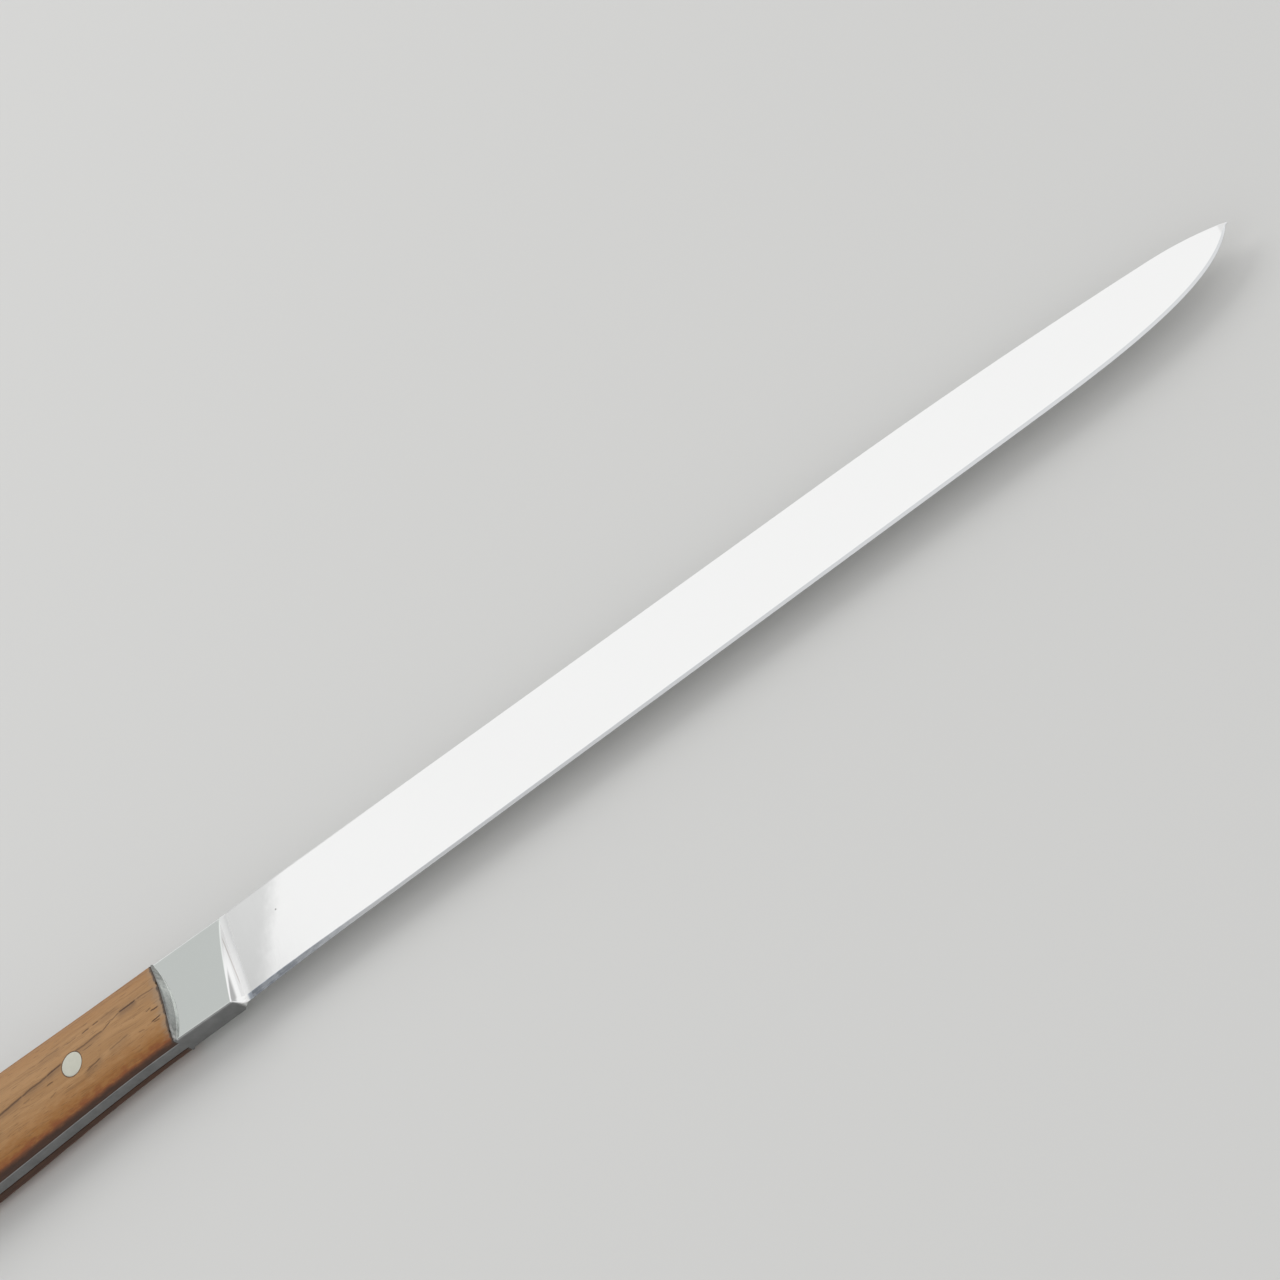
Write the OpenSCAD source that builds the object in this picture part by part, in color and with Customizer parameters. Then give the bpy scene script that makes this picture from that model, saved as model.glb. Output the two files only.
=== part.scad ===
// Forged carving knife for slicing roasts and ham, lying on its side.
// One forging makes the blade, the thin bolster and the full tang. Two domed
// wooden scales sit on the tang, held by three two-piece compression rivets.
// +X points to the tip, +Y to the spine and +Z up out of the flank that shows.
// Inside the modules X = 0 is the front end of the wood and Z = 0 the mid-plane.

/* [Blade] */
// Length from the heel to the tip
blade_len = 278.6; // [220:0.1:340]
// Height from the spine to the edge at the heel
heel_h = 23.1; // [23.1:0.1:25]
// Height at the start of the tip curve
front_h = 19.3; // [15:0.1:21]
// Extra depth of the edge at the heel, worn away further on
heel_wear = 0.65; // [0:0.05:1]
// Length of the stretch over which that wear fades out
wear_len = 40; // [30:1:120]
// Spine thickness where the blade leaves the bolster
spine_t_root = 5.1; // [3:0.1:5.1]
// Spine thickness at the tip
spine_t_tip = 0.9; // [0.6:0.1:1.5]
// How fast the spine thins: 1 is an even taper, more thins early
spine_taper = 1.35; // [1:0.05:2]
// Height that the belly would climb over the tip's whole length
tip_rise = 21.6; // [16:0.1:24]
// Length of the rising belly before the tip
tip_len = 60; // [40:1:90]
// Fullness of the belly: 2 is an ellipse, more is squarer
tip_power = 3.35; // [2.5:0.05:4]
// Length over which the spine climbs out of the bolster
spine_climb_len = 26; // [10:1:40]
// Radius of the long arc in which the spine falls to the tip
spine_drop_r = 1160; // [800:10:2000]
// Length of that arc
spine_drop_len = 102; // [60:1:120]
// Radius of the short arc at the very tip
nose_r = 75; // [50:1:200]
// Length of that arc
nose_len = 18; // [8:1:24]

/* [Cutting edge] */
// Width of the honed bevel at the heel
bevel_w_heel = 1.4; // [0.5:0.1:2]
// Width of the honed bevel further on
bevel_w_tip = 0.8; // [0.4:0.1:1.5]
// Length over which the bevel narrows from the one to the other
bevel_fade_len = 45; // [20:1:200]
// Angle of the bevel to the mid-plane
bevel_angle = 14; // [8:1:20]
// Thickness left at the very edge
edge_t = 0.12; // [0.08:0.01:0.3]
// Radius in which the edge leaves the lip under the heel
heel_lip_r = 0.8; // [0.5:0.1:2]

/* [Bolster] */
// Height of the bolster and of the front of the handle
bolster_h = 22; // [20:0.1:22.5]
// How far the bolster's top lies under the line of the spine
bolster_sink = 0.5; // [0.1:0.1:0.7]
// Thickness at the heel of the blade
bolster_t_front = 5.3; // [5.2:0.1:7]
// Thickness at the wood
bolster_t_rear = 5.9; // [5:0.1:8]
// Distance from the wood to the border of the flat, at the belly
bolster_len = 18.1; // [12:0.1:28]
// Radius of the concave wall that is ground down to the blade
plunge_r = 4.6; // [3:0.1:6]
// How far the lip under the heel reaches below the bolster
lip_drop = 0.45; // [0.2:0.05:0.5]
// Length over which the lip drops
lip_run = 2; // [1.5:0.1:3]
// Distance from the wood's edges to the foot of the shoulder, where it reaches furthest
shoulder_foot = 2.9; // [2.9:0.1:5]
// Radius of the arc along the foot of the shoulder
shoulder_r = 31; // [25:1:60]
// Run of the shoulder's steep wall
shoulder_run = 0.7; // [0.3:0.05:0.75]
// How far under the middle of the bolster both arcs at the shoulder are centred
arc_low = 1.8; // [0:0.1:3]

/* [Handle] */
// Length of the wood
handle_len = 112; // [95:1:125]
// Depth gained by the belly of the handle towards the palm
belly_swell = 3.4; // [0:0.1:5]
// Thickness of the full tang
tang_t = 3.4; // [2:0.1:4]
// Half thickness over the crest of the scales at the wood's front end
crest_front = 5.3; // [4.6:0.1:6]
// Extra half thickness at the palm
crest_swell = 1.6; // [0:0.1:3]
// Distance from the front end to the fullest place
palm_x = 80; // [60:1:90]
// Loss of half thickness at the butt
butt_fall = 1.4; // [0:0.1:2]
// Length over which the butt thins
butt_fall_len = 18; // [8:1:30]
// Radius of the dome across the handle
dome_r = 42; // [30:1:60]
// How far the wood's front end bulges out
joint_bulge = 2.1; // [0.8:0.1:2.1]
// Radius of the arc of the wood's front end
joint_r = 36; // [25:1:36]
// Radius of the two corners of the butt
butt_r = 9; // [6:0.5:11]
// Width of the eased long edges of the wood
ease_w = 1.5; // [0.8:0.1:2.5]
// Depth of the axis that the eased edges turn about
ease_c = 10.4; // [8:0.1:14]

/* [Rivets] */
// Distance from the wood's front end to the first rivet
rivet_first = 26.3; // [20:0.1:32]
// Distance from one rivet to the next
rivet_gap = 28.5; // [22:0.5:32]
// How far the rivets sit below the middle line of the handle
rivet_drop = 0.5; // [0:0.1:1]
// Diameter of the heads
head_d = 5.9; // [5:0.1:8]
// Depth of the counterbores measured from the crest of the wood
head_depth = 1.9; // [1.4:0.1:2.2]
// Outer diameter of the tube and of its hole in the tang
tube_d = 4; // [3:0.1:4.4]
// Diameter of the solid shank driven into the tube
shank_d = 2.4; // [1.6:0.1:2.8]
// Radial play between the pieces of one rivet and round its holes
rivet_play = 0.03; // [0.02:0.01:0.1]

/* [Fit] */
// Gap of the glue line between wood and metal
glue_gap = 0.03; // [0.02:0.01:0.1]

/* [Hidden] */
$fn = 96;
eps = 0.01;

heel_x = bolster_len;
tip_x = heel_x + blade_len;
heel_drop = (bolster_t_front - edge_t) / 2 - bevel_w_heel * tan(bevel_angle);
plunge_end_x = heel_x + sqrt(heel_drop * (2 * plunge_r - heel_drop));
blade_x0 = plunge_end_x - 1.6;
top_y = -bolster_sink;
front_belly_y = top_y - bolster_h;
mid_y = (top_y + front_belly_y) / 2;
arc_y = mid_y - arc_low;
lip_y = front_belly_y - lip_drop;
palm_y = front_belly_y - belly_swell;
axis_tilt = atan((belly_swell / 2) / palm_x);
half_t_max = crest_front + crest_swell;
dome_c = dome_r - crest_front;
tip_start_x = tip_x - tip_len;
rivet_xs = [for (i = [0:2]) -rivet_first - i * rivet_gap];

// The origin lies under the middle of the whole knife, at its lowest point.
place = [(handle_len - tip_x) / 2, -palm_y / 2, half_t_max];

function mix(a, b, t) = a + (b - a) * t;
function clamp01(t) = min(1, max(0, t));
function ease(t) = let (u = clamp01(t)) u * u * (3 - 2 * u);

// Half thickness over the crest of the scales, and the belly line, at x.
function crest(x) =
    crest_front + crest_swell * ease(-x / palm_x)
    - butt_fall * pow(clamp01((-x - handle_len + butt_fall_len) / butt_fall_len), 2);
function belly_y(x) = front_belly_y - belly_swell * ease(-x / palm_x);
function mid_line_y(x) = (top_y + belly_y(x)) / 2;
function rivet_y(x) = mid_line_y(x) - rivet_drop;
// Floor of the counterbore under the rivet head at x.
function seat_z(x) = crest(x) - head_depth;

// Spine: it climbs out of the bolster, runs straight, then falls in two arcs.
function spine_y(x) =
    -(bolster_sink + 0.02) * pow(1 - clamp01((x - blade_x0) / spine_climb_len), 2)
    - pow(max(0, x - tip_x + spine_drop_len), 2) / (2 * spine_drop_r)
    - pow(max(0, x - tip_x + nose_len), 2) / (2 * nose_r);

// Edge: a straight line with the heel's extra depth, then the rising belly.
function edge_line_y(x) =
    mix(-heel_h + heel_wear, -front_h, (x - heel_x) / (tip_start_x - heel_x))
    - heel_wear * pow(1 - clamp01((x - heel_x) / wear_len), 2);
function tip_lift(x) =
    let (u = clamp01((x - tip_start_x) / (tip_len + 1)))
    tip_rise * (1 - pow(1 - pow(u, tip_power), 1 / tip_power));
function lip_lift(x) =
    let (u = clamp01((blade_x0 + heel_lip_r - x) / heel_lip_r))
    (heel_h + lip_y + 0.05) * (1 - sqrt(1 - u * u));
function edge_y(x) = min(edge_line_y(x) + tip_lift(x) + lip_lift(x), spine_y(x) - 0.35);

// Half thicknesses at the spine and at the top of the bevel.
function taper(x) = pow(clamp01((tip_x - x) / (tip_x - plunge_end_x)), spine_taper);
function bevel_w(x) =
    let (h = spine_y(x) - edge_y(x))
    min(mix(bevel_w_heel, bevel_w_tip, ease((x - plunge_end_x) / bevel_fade_len)), 0.3 * h);
function bevel_half_t(x) = edge_t / 2 + bevel_w(x) * tan(bevel_angle);
function spine_half_t(x) =
    let (h = spine_y(x) - edge_y(x), t = mix(spine_t_tip, spine_t_root, taper(x)) / 2)
    min(t, bevel_half_t(x) + 0.16 * h);

// One cross-section of the blade, anticlockwise seen from the tip.
function section(x) =
    let (
        s = spine_y(x), e = edge_y(x), b = e + bevel_w(x),
        ts = spine_half_t(x), tb = bevel_half_t(x), te = edge_t / 2,
        soft = min(0.3, ts / 2)
    )
    [
        [x, s, ts - soft], [x, s - soft, ts], [x, b, tb], [x, e, te],
        [x, e, -te], [x, b, -tb], [x, s - soft, -ts], [x, s, soft - ts]
    ];

// A closed skin over a list of sections that all have the same count of points.
module skin(sections) {
    n = len(sections[0]);
    last = len(sections) - 1;
    polyhedron(
        points = [for (s = sections) each s],
        faces = concat(
            [[for (j = [0:n - 1]) j]],
            [for (i = [0:last - 1]) for (j = [0:n - 1])
                [i * n + j, (i + 1) * n + j, (i + 1) * n + (j + 1) % n, i * n + (j + 1) % n]],
            [[for (j = [n - 1:-1:0]) last * n + j]]
        )
    );
}

// Outline of the handle seen from the flank, from x0 back to the butt.
function arc(c, r, a0, a1, n) =
    [for (i = [0:n]) let (a = mix(a0, a1, i / n)) c + r * [cos(a), sin(a)]];
module handle_outline(x0, inset = 0) {
    butt_x = -handle_len + inset;
    low = belly_y(-handle_len) + inset;
    high = top_y - inset;
    r = butt_r - inset;
    polygon(concat(
        [[x0, high]],
        arc([butt_x + r, high - r], r, 90, 180, 12),
        arc([butt_x + r, low + r], r, 180, 270, 12),
        [for (i = [0:16]) let (x = mix(butt_x + r, min(x0, 0), i / 16)) if (i > 0) [x, belly_y(x) + inset]],
        x0 > 0 ? [[x0, front_belly_y]] : []
    ));
}

// Solid of revolution along the handle, with its axis centre_z under the mid-plane.
module barrel(centre_z, radius_at) {
    n = 22;
    xs = [for (i = [0:n]) mix(-handle_len - 1, shoulder_foot + 2, i / n)];
    translate([0, mid_y, -centre_z])
        rotate([0, 0, axis_tilt])
            rotate([0, 90, 0])
                rotate_extrude($fn = 180)
                    polygon(concat(
                        [[0, xs[0]]],
                        [for (x = xs) [radius_at(min(x, 0)), x]],
                        [[0, xs[n]]]
                    ));
}

// The wide dome across the handle, with its long edges eased by a tighter barrel.
module crown() {
    barrel(dome_c, function(x) dome_c + crest(x));
}
module dome() {
    intersection() {
        crown();
        barrel(ease_c, function(x)
            let (y = (top_y - belly_y(x)) / 2 - ease_w)
            norm([y, sqrt(pow(dome_c + crest(x), 2) - y * y) - dome_c + ease_c]));
    }
}

// Disc whose rim makes an arc across the handle, bulging towards the tip.
module arc_disc(front_x, r_low, r_high, z0, z1) {
    translate([front_x - r_low, arc_y, z0])
        cylinder(h = z1 - z0, r1 = r_low, r2 = r_high, $fn = 180);
}

// Moves a piece from the knife's own zero to the shared origin.
module placed() {
    translate(place)
        children();
}

// Everything behind the arc of the wood's front end.
module behind_joint(front_x, z0, z1) {
    centre_x = front_x - joint_r;
    arc_disc(front_x, joint_r, joint_r, z0, z1);
    translate([-handle_len - 5, arc_y - joint_r, z0])
        cube([centre_x + handle_len + 5, 2 * joint_r, z1 - z0]);
}

// The flat-sided bolster, a little thinner towards the blade. Its belly turns
// down into the lip under the heel and then up along the top of the bevel.
module bolster_flat() {
    half_front = bolster_t_front / 2;
    half_rear = bolster_t_rear / 2;
    rear_x = joint_bulge - 4;
    front_x = plunge_end_x + 0.6;
    slope = (half_front - half_rear) / heel_x;
    difference() {
        intersection() {
            translate([0, top_y + 1, 0])
                rotate([90, 0, 0])
                    linear_extrude(bolster_h + 4)
                        polygon([
                            [rear_x, half_rear], [rear_x, -half_rear], [0, -half_rear],
                            [front_x + 1, -half_rear - slope * (front_x + 1)],
                            [front_x + 1, half_rear + slope * (front_x + 1)], [0, half_rear]
                        ]);
            translate([0, 0, -bolster_t_rear])
                linear_extrude(2 * bolster_t_rear)
                    polygon(concat(
                        [[rear_x, top_y], [rear_x, front_belly_y]],
                        [for (i = [0:8]) [heel_x + lip_run * i / 8, front_belly_y - lip_drop * ease(i / 8)]],
                        [[front_x, edge_y(front_x) + bevel_w(front_x)], [front_x, top_y]]
                    ));
        }
        for (side = [1, -1])
            plunge_cut(side);
    }
}

// Space ahead of the concave wall: its cylinder lies along the flank, which it just touches.
module plunge_cut(side) {
    x = plunge_end_x;
    low = [edge_y(x) + bevel_w(x), bevel_half_t(x)];
    high = [spine_y(x), spine_half_t(x)];
    lean = atan((high[1] - low[1]) / (high[0] - low[0]));
    mirror([0, 0, side > 0 ? 0 : 1])
        translate([x, low[0], low[1] - 0.03])
            rotate([lean, 0, 0]) {
                translate([0, -10, plunge_r])
                    rotate([-90, 0, 0])
                        cylinder(h = bolster_h + 20, r = plunge_r, $fn = 180);
                translate([0, -10, 0.004])
                    cube([10, bolster_h + 20, 10]);
            }
}

// Raised metal shoulder in front of one scale: dome above, sloping wall ahead.
module shoulder(side) {
    foot_z = bolster_t_rear / 2;
    lip_z = crest_front;
    wall = shoulder_run / (lip_z - foot_z);
    mirror([0, 0, side > 0 ? 0 : 1])
        difference() {
            intersection() {
                dome();
                translate([-6, front_belly_y, 0])
                    cube([shoulder_foot + 6, bolster_h, half_t_max]);
                arc_disc(
                    shoulder_foot + wall * foot_z,
                    shoulder_r + wall * foot_z,
                    shoulder_r - wall * (half_t_max - foot_z),
                    0, half_t_max
                );
            }
            arc_disc(joint_bulge, joint_r, joint_r, tang_t / 2, half_t_max + 1);
        }
}

// Flat tang between the scales, with the same outline as the wood.
module tang() {
    translate([0, 0, -tang_t / 2])
        linear_extrude(tang_t)
            handle_outline(joint_bulge + 0.5);
}

// The whole forging, drilled for the rivets.
module blade() {
    n = 64;
    xs = concat(
        [for (i = [0:6]) blade_x0 + heel_lip_r * (1 - cos(90 * i / 6))],
        [for (i = [1:n]) mix(blade_x0 + heel_lip_r, tip_x, 1 - pow(1 - i / n, 1.6))]
    );
    color("gainsboro")
        placed()
            difference() {
                union() {
                    skin([for (x = xs) section(x)]);
                    difference() {
                        bolster_flat();
                        for (z = [tang_t / 2, -tang_t / 2 - 10])
                            arc_disc(joint_bulge, joint_r, joint_r, z, z + 10);
                    }
                    shoulder(1);
                    shoulder(-1);
                    tang();
                }
                for (x = rivet_xs)
                    translate([x, rivet_y(x), 0])
                        cylinder(h = 2 * half_t_max, d = tube_d + 2 * rivet_play, center = true);
            }
}

// One wooden scale, for the upper flank or mirrored for the lower one.
module scale_half(side) {
    play = 2 * rivet_play;
    mirror([0, 0, side > 0 ? 0 : 1])
        difference() {
            intersection() {
                dome();
                translate([0, 0, tang_t / 2 + glue_gap])
                    linear_extrude(half_t_max)
                        handle_outline(joint_bulge + 0.5);
                behind_joint(joint_bulge - glue_gap, 0, half_t_max + 1);
            }
            for (x = rivet_xs)
                translate([x, rivet_y(x), 0]) {
                    cylinder(h = half_t_max, d = tube_d + play);
                    translate([0, 0, seat_z(x)])
                        cylinder(h = half_t_max, d = head_d + play);
                }
        }
}

// Head with a long tube, ground flush with the dome of the wood.
module rivet_tube(i) {
    x = rivet_xs[i];
    seat = seat_z(x) + eps;
    tail = seat_z(x) - 0.4;
    color("silver")
        placed()
            intersection() {
                crown();
                translate([x, rivet_y(x), 0])
                    difference() {
                        union() {
                            translate([0, 0, seat])
                                cylinder(h = half_t_max, d = head_d);
                            translate([0, 0, -tail])
                                cylinder(h = tail + seat + 1, d = tube_d);
                        }
                        translate([0, 0, -tail - 1])
                            cylinder(h = tail + seat + 1, d = shank_d + 2 * rivet_play);
                    }
            }
}

// Head with a solid shank that is driven up into the tube.
module rivet_shank(i) {
    x = rivet_xs[i];
    seat = seat_z(x) + eps;
    color("silver")
        placed()
            mirror([0, 0, 1])
                intersection() {
                    crown();
                    translate([x, rivet_y(x), 0])
                        union() {
                            translate([0, 0, seat])
                                cylinder(h = half_t_max, d = head_d);
                            translate([0, 0, 0.5 - seat])
                                cylinder(h = 2 * seat + 0.5, d = shank_d);
                        }
                }
}

module right_scale() {
    color("peru")
        placed()
            scale_half(1);
}

module left_scale() {
    color("peru")
        placed()
            scale_half(-1);
}

module front_rivet_tube() {
    rivet_tube(0);
}

module front_rivet_shank() {
    rivet_shank(0);
}

module middle_rivet_tube() {
    rivet_tube(1);
}

module middle_rivet_shank() {
    rivet_shank(1);
}

module rear_rivet_tube() {
    rivet_tube(2);
}

module rear_rivet_shank() {
    rivet_shank(2);
}

blade();
right_scale();
left_scale();
front_rivet_tube();
front_rivet_shank();
middle_rivet_tube();
middle_rivet_shank();
rear_rivet_tube();
rear_rivet_shank();
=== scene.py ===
"""A forged slicing knife: polished blade, flat bolster, domed wooden scales and flush rivets.

Lengths in the dataclasses are millimetres in the knife's own zero: x = 0 at the front end of the
wood, y = 0 on the line of the spine, z = 0 on the mid-plane. Meshes are written in metres in the
shared frame.
"""

import logging
import math
from dataclasses import dataclass, field
from enum import Enum
from functools import reduce
from typing import Any, Callable, Sequence

import bpy
import numpy as np
from mathutils import Matrix, Vector


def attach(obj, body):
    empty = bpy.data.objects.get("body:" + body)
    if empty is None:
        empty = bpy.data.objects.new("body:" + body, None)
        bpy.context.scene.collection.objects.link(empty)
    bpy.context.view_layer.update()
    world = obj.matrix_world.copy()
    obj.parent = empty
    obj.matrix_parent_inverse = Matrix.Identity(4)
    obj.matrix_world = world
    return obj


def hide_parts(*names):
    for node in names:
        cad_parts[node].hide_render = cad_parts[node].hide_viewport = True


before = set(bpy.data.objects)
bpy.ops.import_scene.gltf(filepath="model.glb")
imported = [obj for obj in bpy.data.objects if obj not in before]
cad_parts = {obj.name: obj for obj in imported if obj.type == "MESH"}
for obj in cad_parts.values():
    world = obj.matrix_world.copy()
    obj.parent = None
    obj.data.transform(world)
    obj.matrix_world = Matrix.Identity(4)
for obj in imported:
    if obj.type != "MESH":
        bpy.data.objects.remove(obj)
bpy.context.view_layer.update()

MM = 0.001
BODY = "root"
log = logging.getLogger("knife")

Array = np.ndarray
Piece = bpy.types.Object
Span = tuple[float, float]
Place = tuple[float, float, float]
Colour = tuple[float, float, float]
Waves = tuple[int, float, float]
Steps = Sequence[tuple[float, float]]
Line = Callable[[Array], Array]
Surface = Callable[[Array, Array], Array]


def clamp01(values: Array) -> Array:
    """Limit values to the range 0 to 1."""
    return np.clip(values, 0.0, 1.0)


def ease(values: Array) -> Array:
    """Smooth step: 3u^2 - 2u^3 over the range 0 to 1, flat outside it."""
    u = clamp01(values)
    return u * u * (3 - 2 * u)


def mix(low: Any, high: Any, share: Any) -> Any:
    """Straight blend from low to high."""
    return low + (high - low) * share


def soft_max(a: Array, b: Array, width: float) -> Array:
    """Larger of two surfaces, with a fillet where they differ by less than the width."""
    near = np.maximum(width - np.abs(a - b), 0) / width
    return np.maximum(a, b) + near * near * width / 4


def soft_min(a: Array, b: Array, width: float) -> Array:
    """Smaller of two surfaces, with a rounded edge where they differ by less than the width."""
    return -soft_max(-a, -b, width)


def round_off(share: Array, radius: float) -> Array:
    """Drop of a quarter circle: the whole radius where the share is 0 and nothing from 1 on."""
    return radius * (1 - np.sqrt(1 - (1 - clamp01(share)) ** 2))


def ripple(x: Array, y: Array, seed: int, waves: int, low: float, high: float) -> Array:
    """Smooth irregular surface: a sum of sine waves with random directions, rates and phases.

    Args:
        x: Positions along the first axis.
        y: Positions along the second axis.
        seed: Seed of the random draws.
        waves: How many waves are added.
        low: Slowest rate in radians a millimetre.
        high: Fastest rate in radians a millimetre.

    Returns:
        Values of about -1 to 1, in the shape of x and y.
    """
    rng = np.random.default_rng(seed)
    rate = rng.uniform(low, high, waves)
    turn = rng.uniform(0, 2 * np.pi, waves)
    phase = rng.uniform(0, 2 * np.pi, waves)
    total = sum(
        np.sin(r * (np.cos(t) * x + np.sin(t) * y) + p) for r, t, p in zip(rate, turn, phase)
    )
    return total / math.sqrt(waves)


@dataclass
class KnifeForm:
    """Sizes of the knife and the curves that follow from them."""

    blade_len: float = 278.6
    heel_h: float = 23.1
    front_h: float = 19.3
    heel_wear: float = 0.65
    wear_len: float = 40.0
    spine_t_root: float = 5.1
    spine_t_tip: float = 0.9
    spine_taper: float = 1.35
    tip_rise: float = 21.6
    tip_len: float = 60.0
    tip_past: float = 1.0
    tip_power: float = 3.35
    tip_h: float = 0.35
    spine_climb_lead: float = 1.6
    spine_climb_len: float = 26.0
    spine_drop_r: float = 1160.0
    spine_drop_len: float = 102.0
    nose_r: float = 75.0
    nose_len: float = 18.0
    bevel_w_heel: float = 1.4
    bevel_w_tip: float = 0.8
    bevel_w_share: float = 0.3
    bevel_fade_len: float = 45.0
    bevel_angle: float = 14.0
    bevel_angle_far: float = 12.0
    wedge: float = 0.16
    edge_t: float = 0.12
    bolster_h: float = 22.0
    bolster_sink: float = 0.5
    bolster_t_front: float = 5.3
    bolster_t_rear: float = 5.9
    bolster_len: float = 18.1
    plunge_r: float = 4.6
    border_drop: float = 0.03
    border_past: float = 1.5
    lip_run: float = 1.7
    shoulder_foot: float = 2.9
    shoulder_r: float = 31.0
    shoulder_run: float = 0.7
    arc_low: float = 1.8
    handle_len: float = 112.0
    belly_swell: float = 3.4
    tang_t: float = 3.4
    crest_front: float = 5.3
    crest_swell: float = 1.6
    palm_x: float = 80.0
    butt_fall: float = 1.4
    butt_fall_len: float = 18.0
    dome_r: float = 42.0
    joint_bulge: float = 2.1
    joint_r: float = 36.0
    joint_bend_len: float = 30.0
    butt_r: float = 9.0
    ease_w: float = 1.5
    ease_c: float = 10.4
    ease_blend: float = 0.5
    rivet_count: int = 3
    rivet_first: float = 26.3
    rivet_gap: float = 28.5
    rivet_drop: float = 0.5
    head_d: float = 5.9
    head_depth: float = 1.9
    tube_d: float = 4.0
    shank_d: float = 2.4
    rivet_play: float = 0.03
    glue_gap: float = 0.03

    @property
    def tip_x(self) -> float:
        """Place of the tip."""
        return self.bolster_len + self.blade_len

    @property
    def plunge_end_x(self) -> float:
        """Line across the blade where the concave ground wall runs out into the flank.

        Returns:
            Its place along the knife.
        """
        bevel_drop = self.bevel_w_heel * math.tan(math.radians(self.bevel_angle))
        drop = (self.bolster_t_front - self.edge_t) / 2 - bevel_drop
        return self.bolster_len + math.sqrt(drop * (2 * self.plunge_r - drop))

    @property
    def top_y(self) -> float:
        """Upper line of bolster and handle."""
        return -self.bolster_sink

    @property
    def front_belly_y(self) -> float:
        """Lower line of the bolster."""
        return self.top_y - self.bolster_h

    @property
    def mid_y(self) -> float:
        """Middle line of the bolster."""
        return (self.top_y + self.front_belly_y) / 2

    @property
    def origin(self) -> Array:
        """Place of the knife's own zero in the shared frame, in millimetres."""
        low, thick = self.front_belly_y - self.belly_swell, self.crest_front + self.crest_swell
        return np.array([(self.handle_len - self.tip_x) / 2, -low / 2, thick])

    @property
    def rivet_xs(self) -> list[float]:
        """Places of the rivets along the handle."""
        return [-self.rivet_first - i * self.rivet_gap for i in range(self.rivet_count)]

    def crest(self, x: Array) -> Array:
        """Half thickness over the crest of the scales: swells to the palm and falls at the butt."""
        fall = clamp01((self.butt_fall_len - x - self.handle_len) / self.butt_fall_len) ** 2
        return self.crest_front + self.crest_swell * ease(-x / self.palm_x) - self.butt_fall * fall

    def head_top(self, x: float) -> float:
        """Height of a rivet head's top on its axis."""
        return float(self.crest(np.array(x)))

    def head_seat(self, x: float) -> float:
        """Height of the ground under a rivet head."""
        return self.head_top(x) - self.head_depth

    def belly_y(self, x: Array) -> Array:
        """Lower line of the handle."""
        return self.front_belly_y - self.belly_swell * ease(-x / self.palm_x)

    def mid_line_y(self, x: Array) -> Array:
        """Middle line of the handle."""
        return (self.top_y + self.belly_y(x)) / 2

    def rivet_centre(self, x: float) -> Array:
        """Place of a rivet's axis, a little below the middle line."""
        return np.array([x, float(self.mid_line_y(np.array(x))) - self.rivet_drop])

    def crown(self, x: Array, y: Array) -> Array:
        """Dome over the handle: an arc of radius dome_r whose top follows the crest line."""
        centre, reach = self.dome_r - self.crest_front, y - self.mid_line_y(x)
        return np.sqrt(np.maximum((centre + self.crest(x)) ** 2 - reach ** 2, 0)) - centre

    def dome(self, x: Array, y: Array) -> Array:
        """The crown, its long edges eased by a tighter arc that crosses it ease_w from the side.

        Args:
            x: Places along the knife.
            y: Places across it.

        Returns:
            Heights above the mid-plane.
        """
        side = (self.top_y - self.belly_y(x)) / 2 - self.ease_w
        centre = self.dome_r - self.crest_front
        meet = np.sqrt((centre + self.crest(x)) ** 2 - side ** 2) - centre
        radius = np.hypot(side, meet + self.ease_c)
        reach = y - self.mid_line_y(x)
        eased = np.sqrt(np.maximum(radius ** 2 - reach ** 2, 0)) - self.ease_c
        return soft_min(self.crown(x, y), eased, self.ease_blend)

    def spine_y(self, x: Array) -> Array:
        """Spine: climbs out of the bolster, runs straight, then falls in a long and a short arc.

        Args:
            x: Places along the knife.

        Returns:
            Places of the spine across the knife.
        """
        risen = clamp01((x - self.plunge_end_x + self.spine_climb_lead) / self.spine_climb_len)
        climb = self.bolster_sink * (1 - risen) ** 2
        past = x - self.tip_x
        long_arc = np.maximum(0, past + self.spine_drop_len) ** 2 / (2 * self.spine_drop_r)
        nose = np.maximum(0, past + self.nose_len) ** 2 / (2 * self.nose_r)
        return -climb - long_arc - nose

    def edge_y(self, x: Array) -> Array:
        """Belly of the bolster, a rounded lip, the straight edge and a superellipse up to the tip.

        Args:
            x: Places along the knife.

        Returns:
            Places of the edge across the knife.
        """
        start = self.tip_x - self.tip_len
        heel = self.bolster_len
        line = mix(-self.heel_h + self.heel_wear, -self.front_h, (x - heel) / (start - heel))
        line = line - self.heel_wear * (1 - clamp01((x - heel) / self.wear_len)) ** 2
        u = clamp01((x - start) / (self.tip_len + self.tip_past))
        lift = self.tip_rise * (1 - (1 - u ** self.tip_power) ** (1 / self.tip_power))
        blade = mix(self.front_belly_y, line + lift, ease((x - heel) / self.lip_run))
        return np.minimum(blade, self.spine_y(x) - self.tip_h)

    def blade_h(self, x: Array) -> Array:
        """Height of the blade from edge to spine."""
        return self.spine_y(x) - self.edge_y(x)

    def bevel_fade(self, x: Array) -> Array:
        """How far the honed bevel has passed from its form at the heel to that of the blade."""
        return ease((x - self.plunge_end_x) / self.bevel_fade_len)

    def bevel_w(self, x: Array) -> Array:
        """Width of the honed bevel."""
        width = mix(self.bevel_w_heel, self.bevel_w_tip, self.bevel_fade(x))
        return np.minimum(width, self.bevel_w_share * self.blade_h(x))

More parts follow.
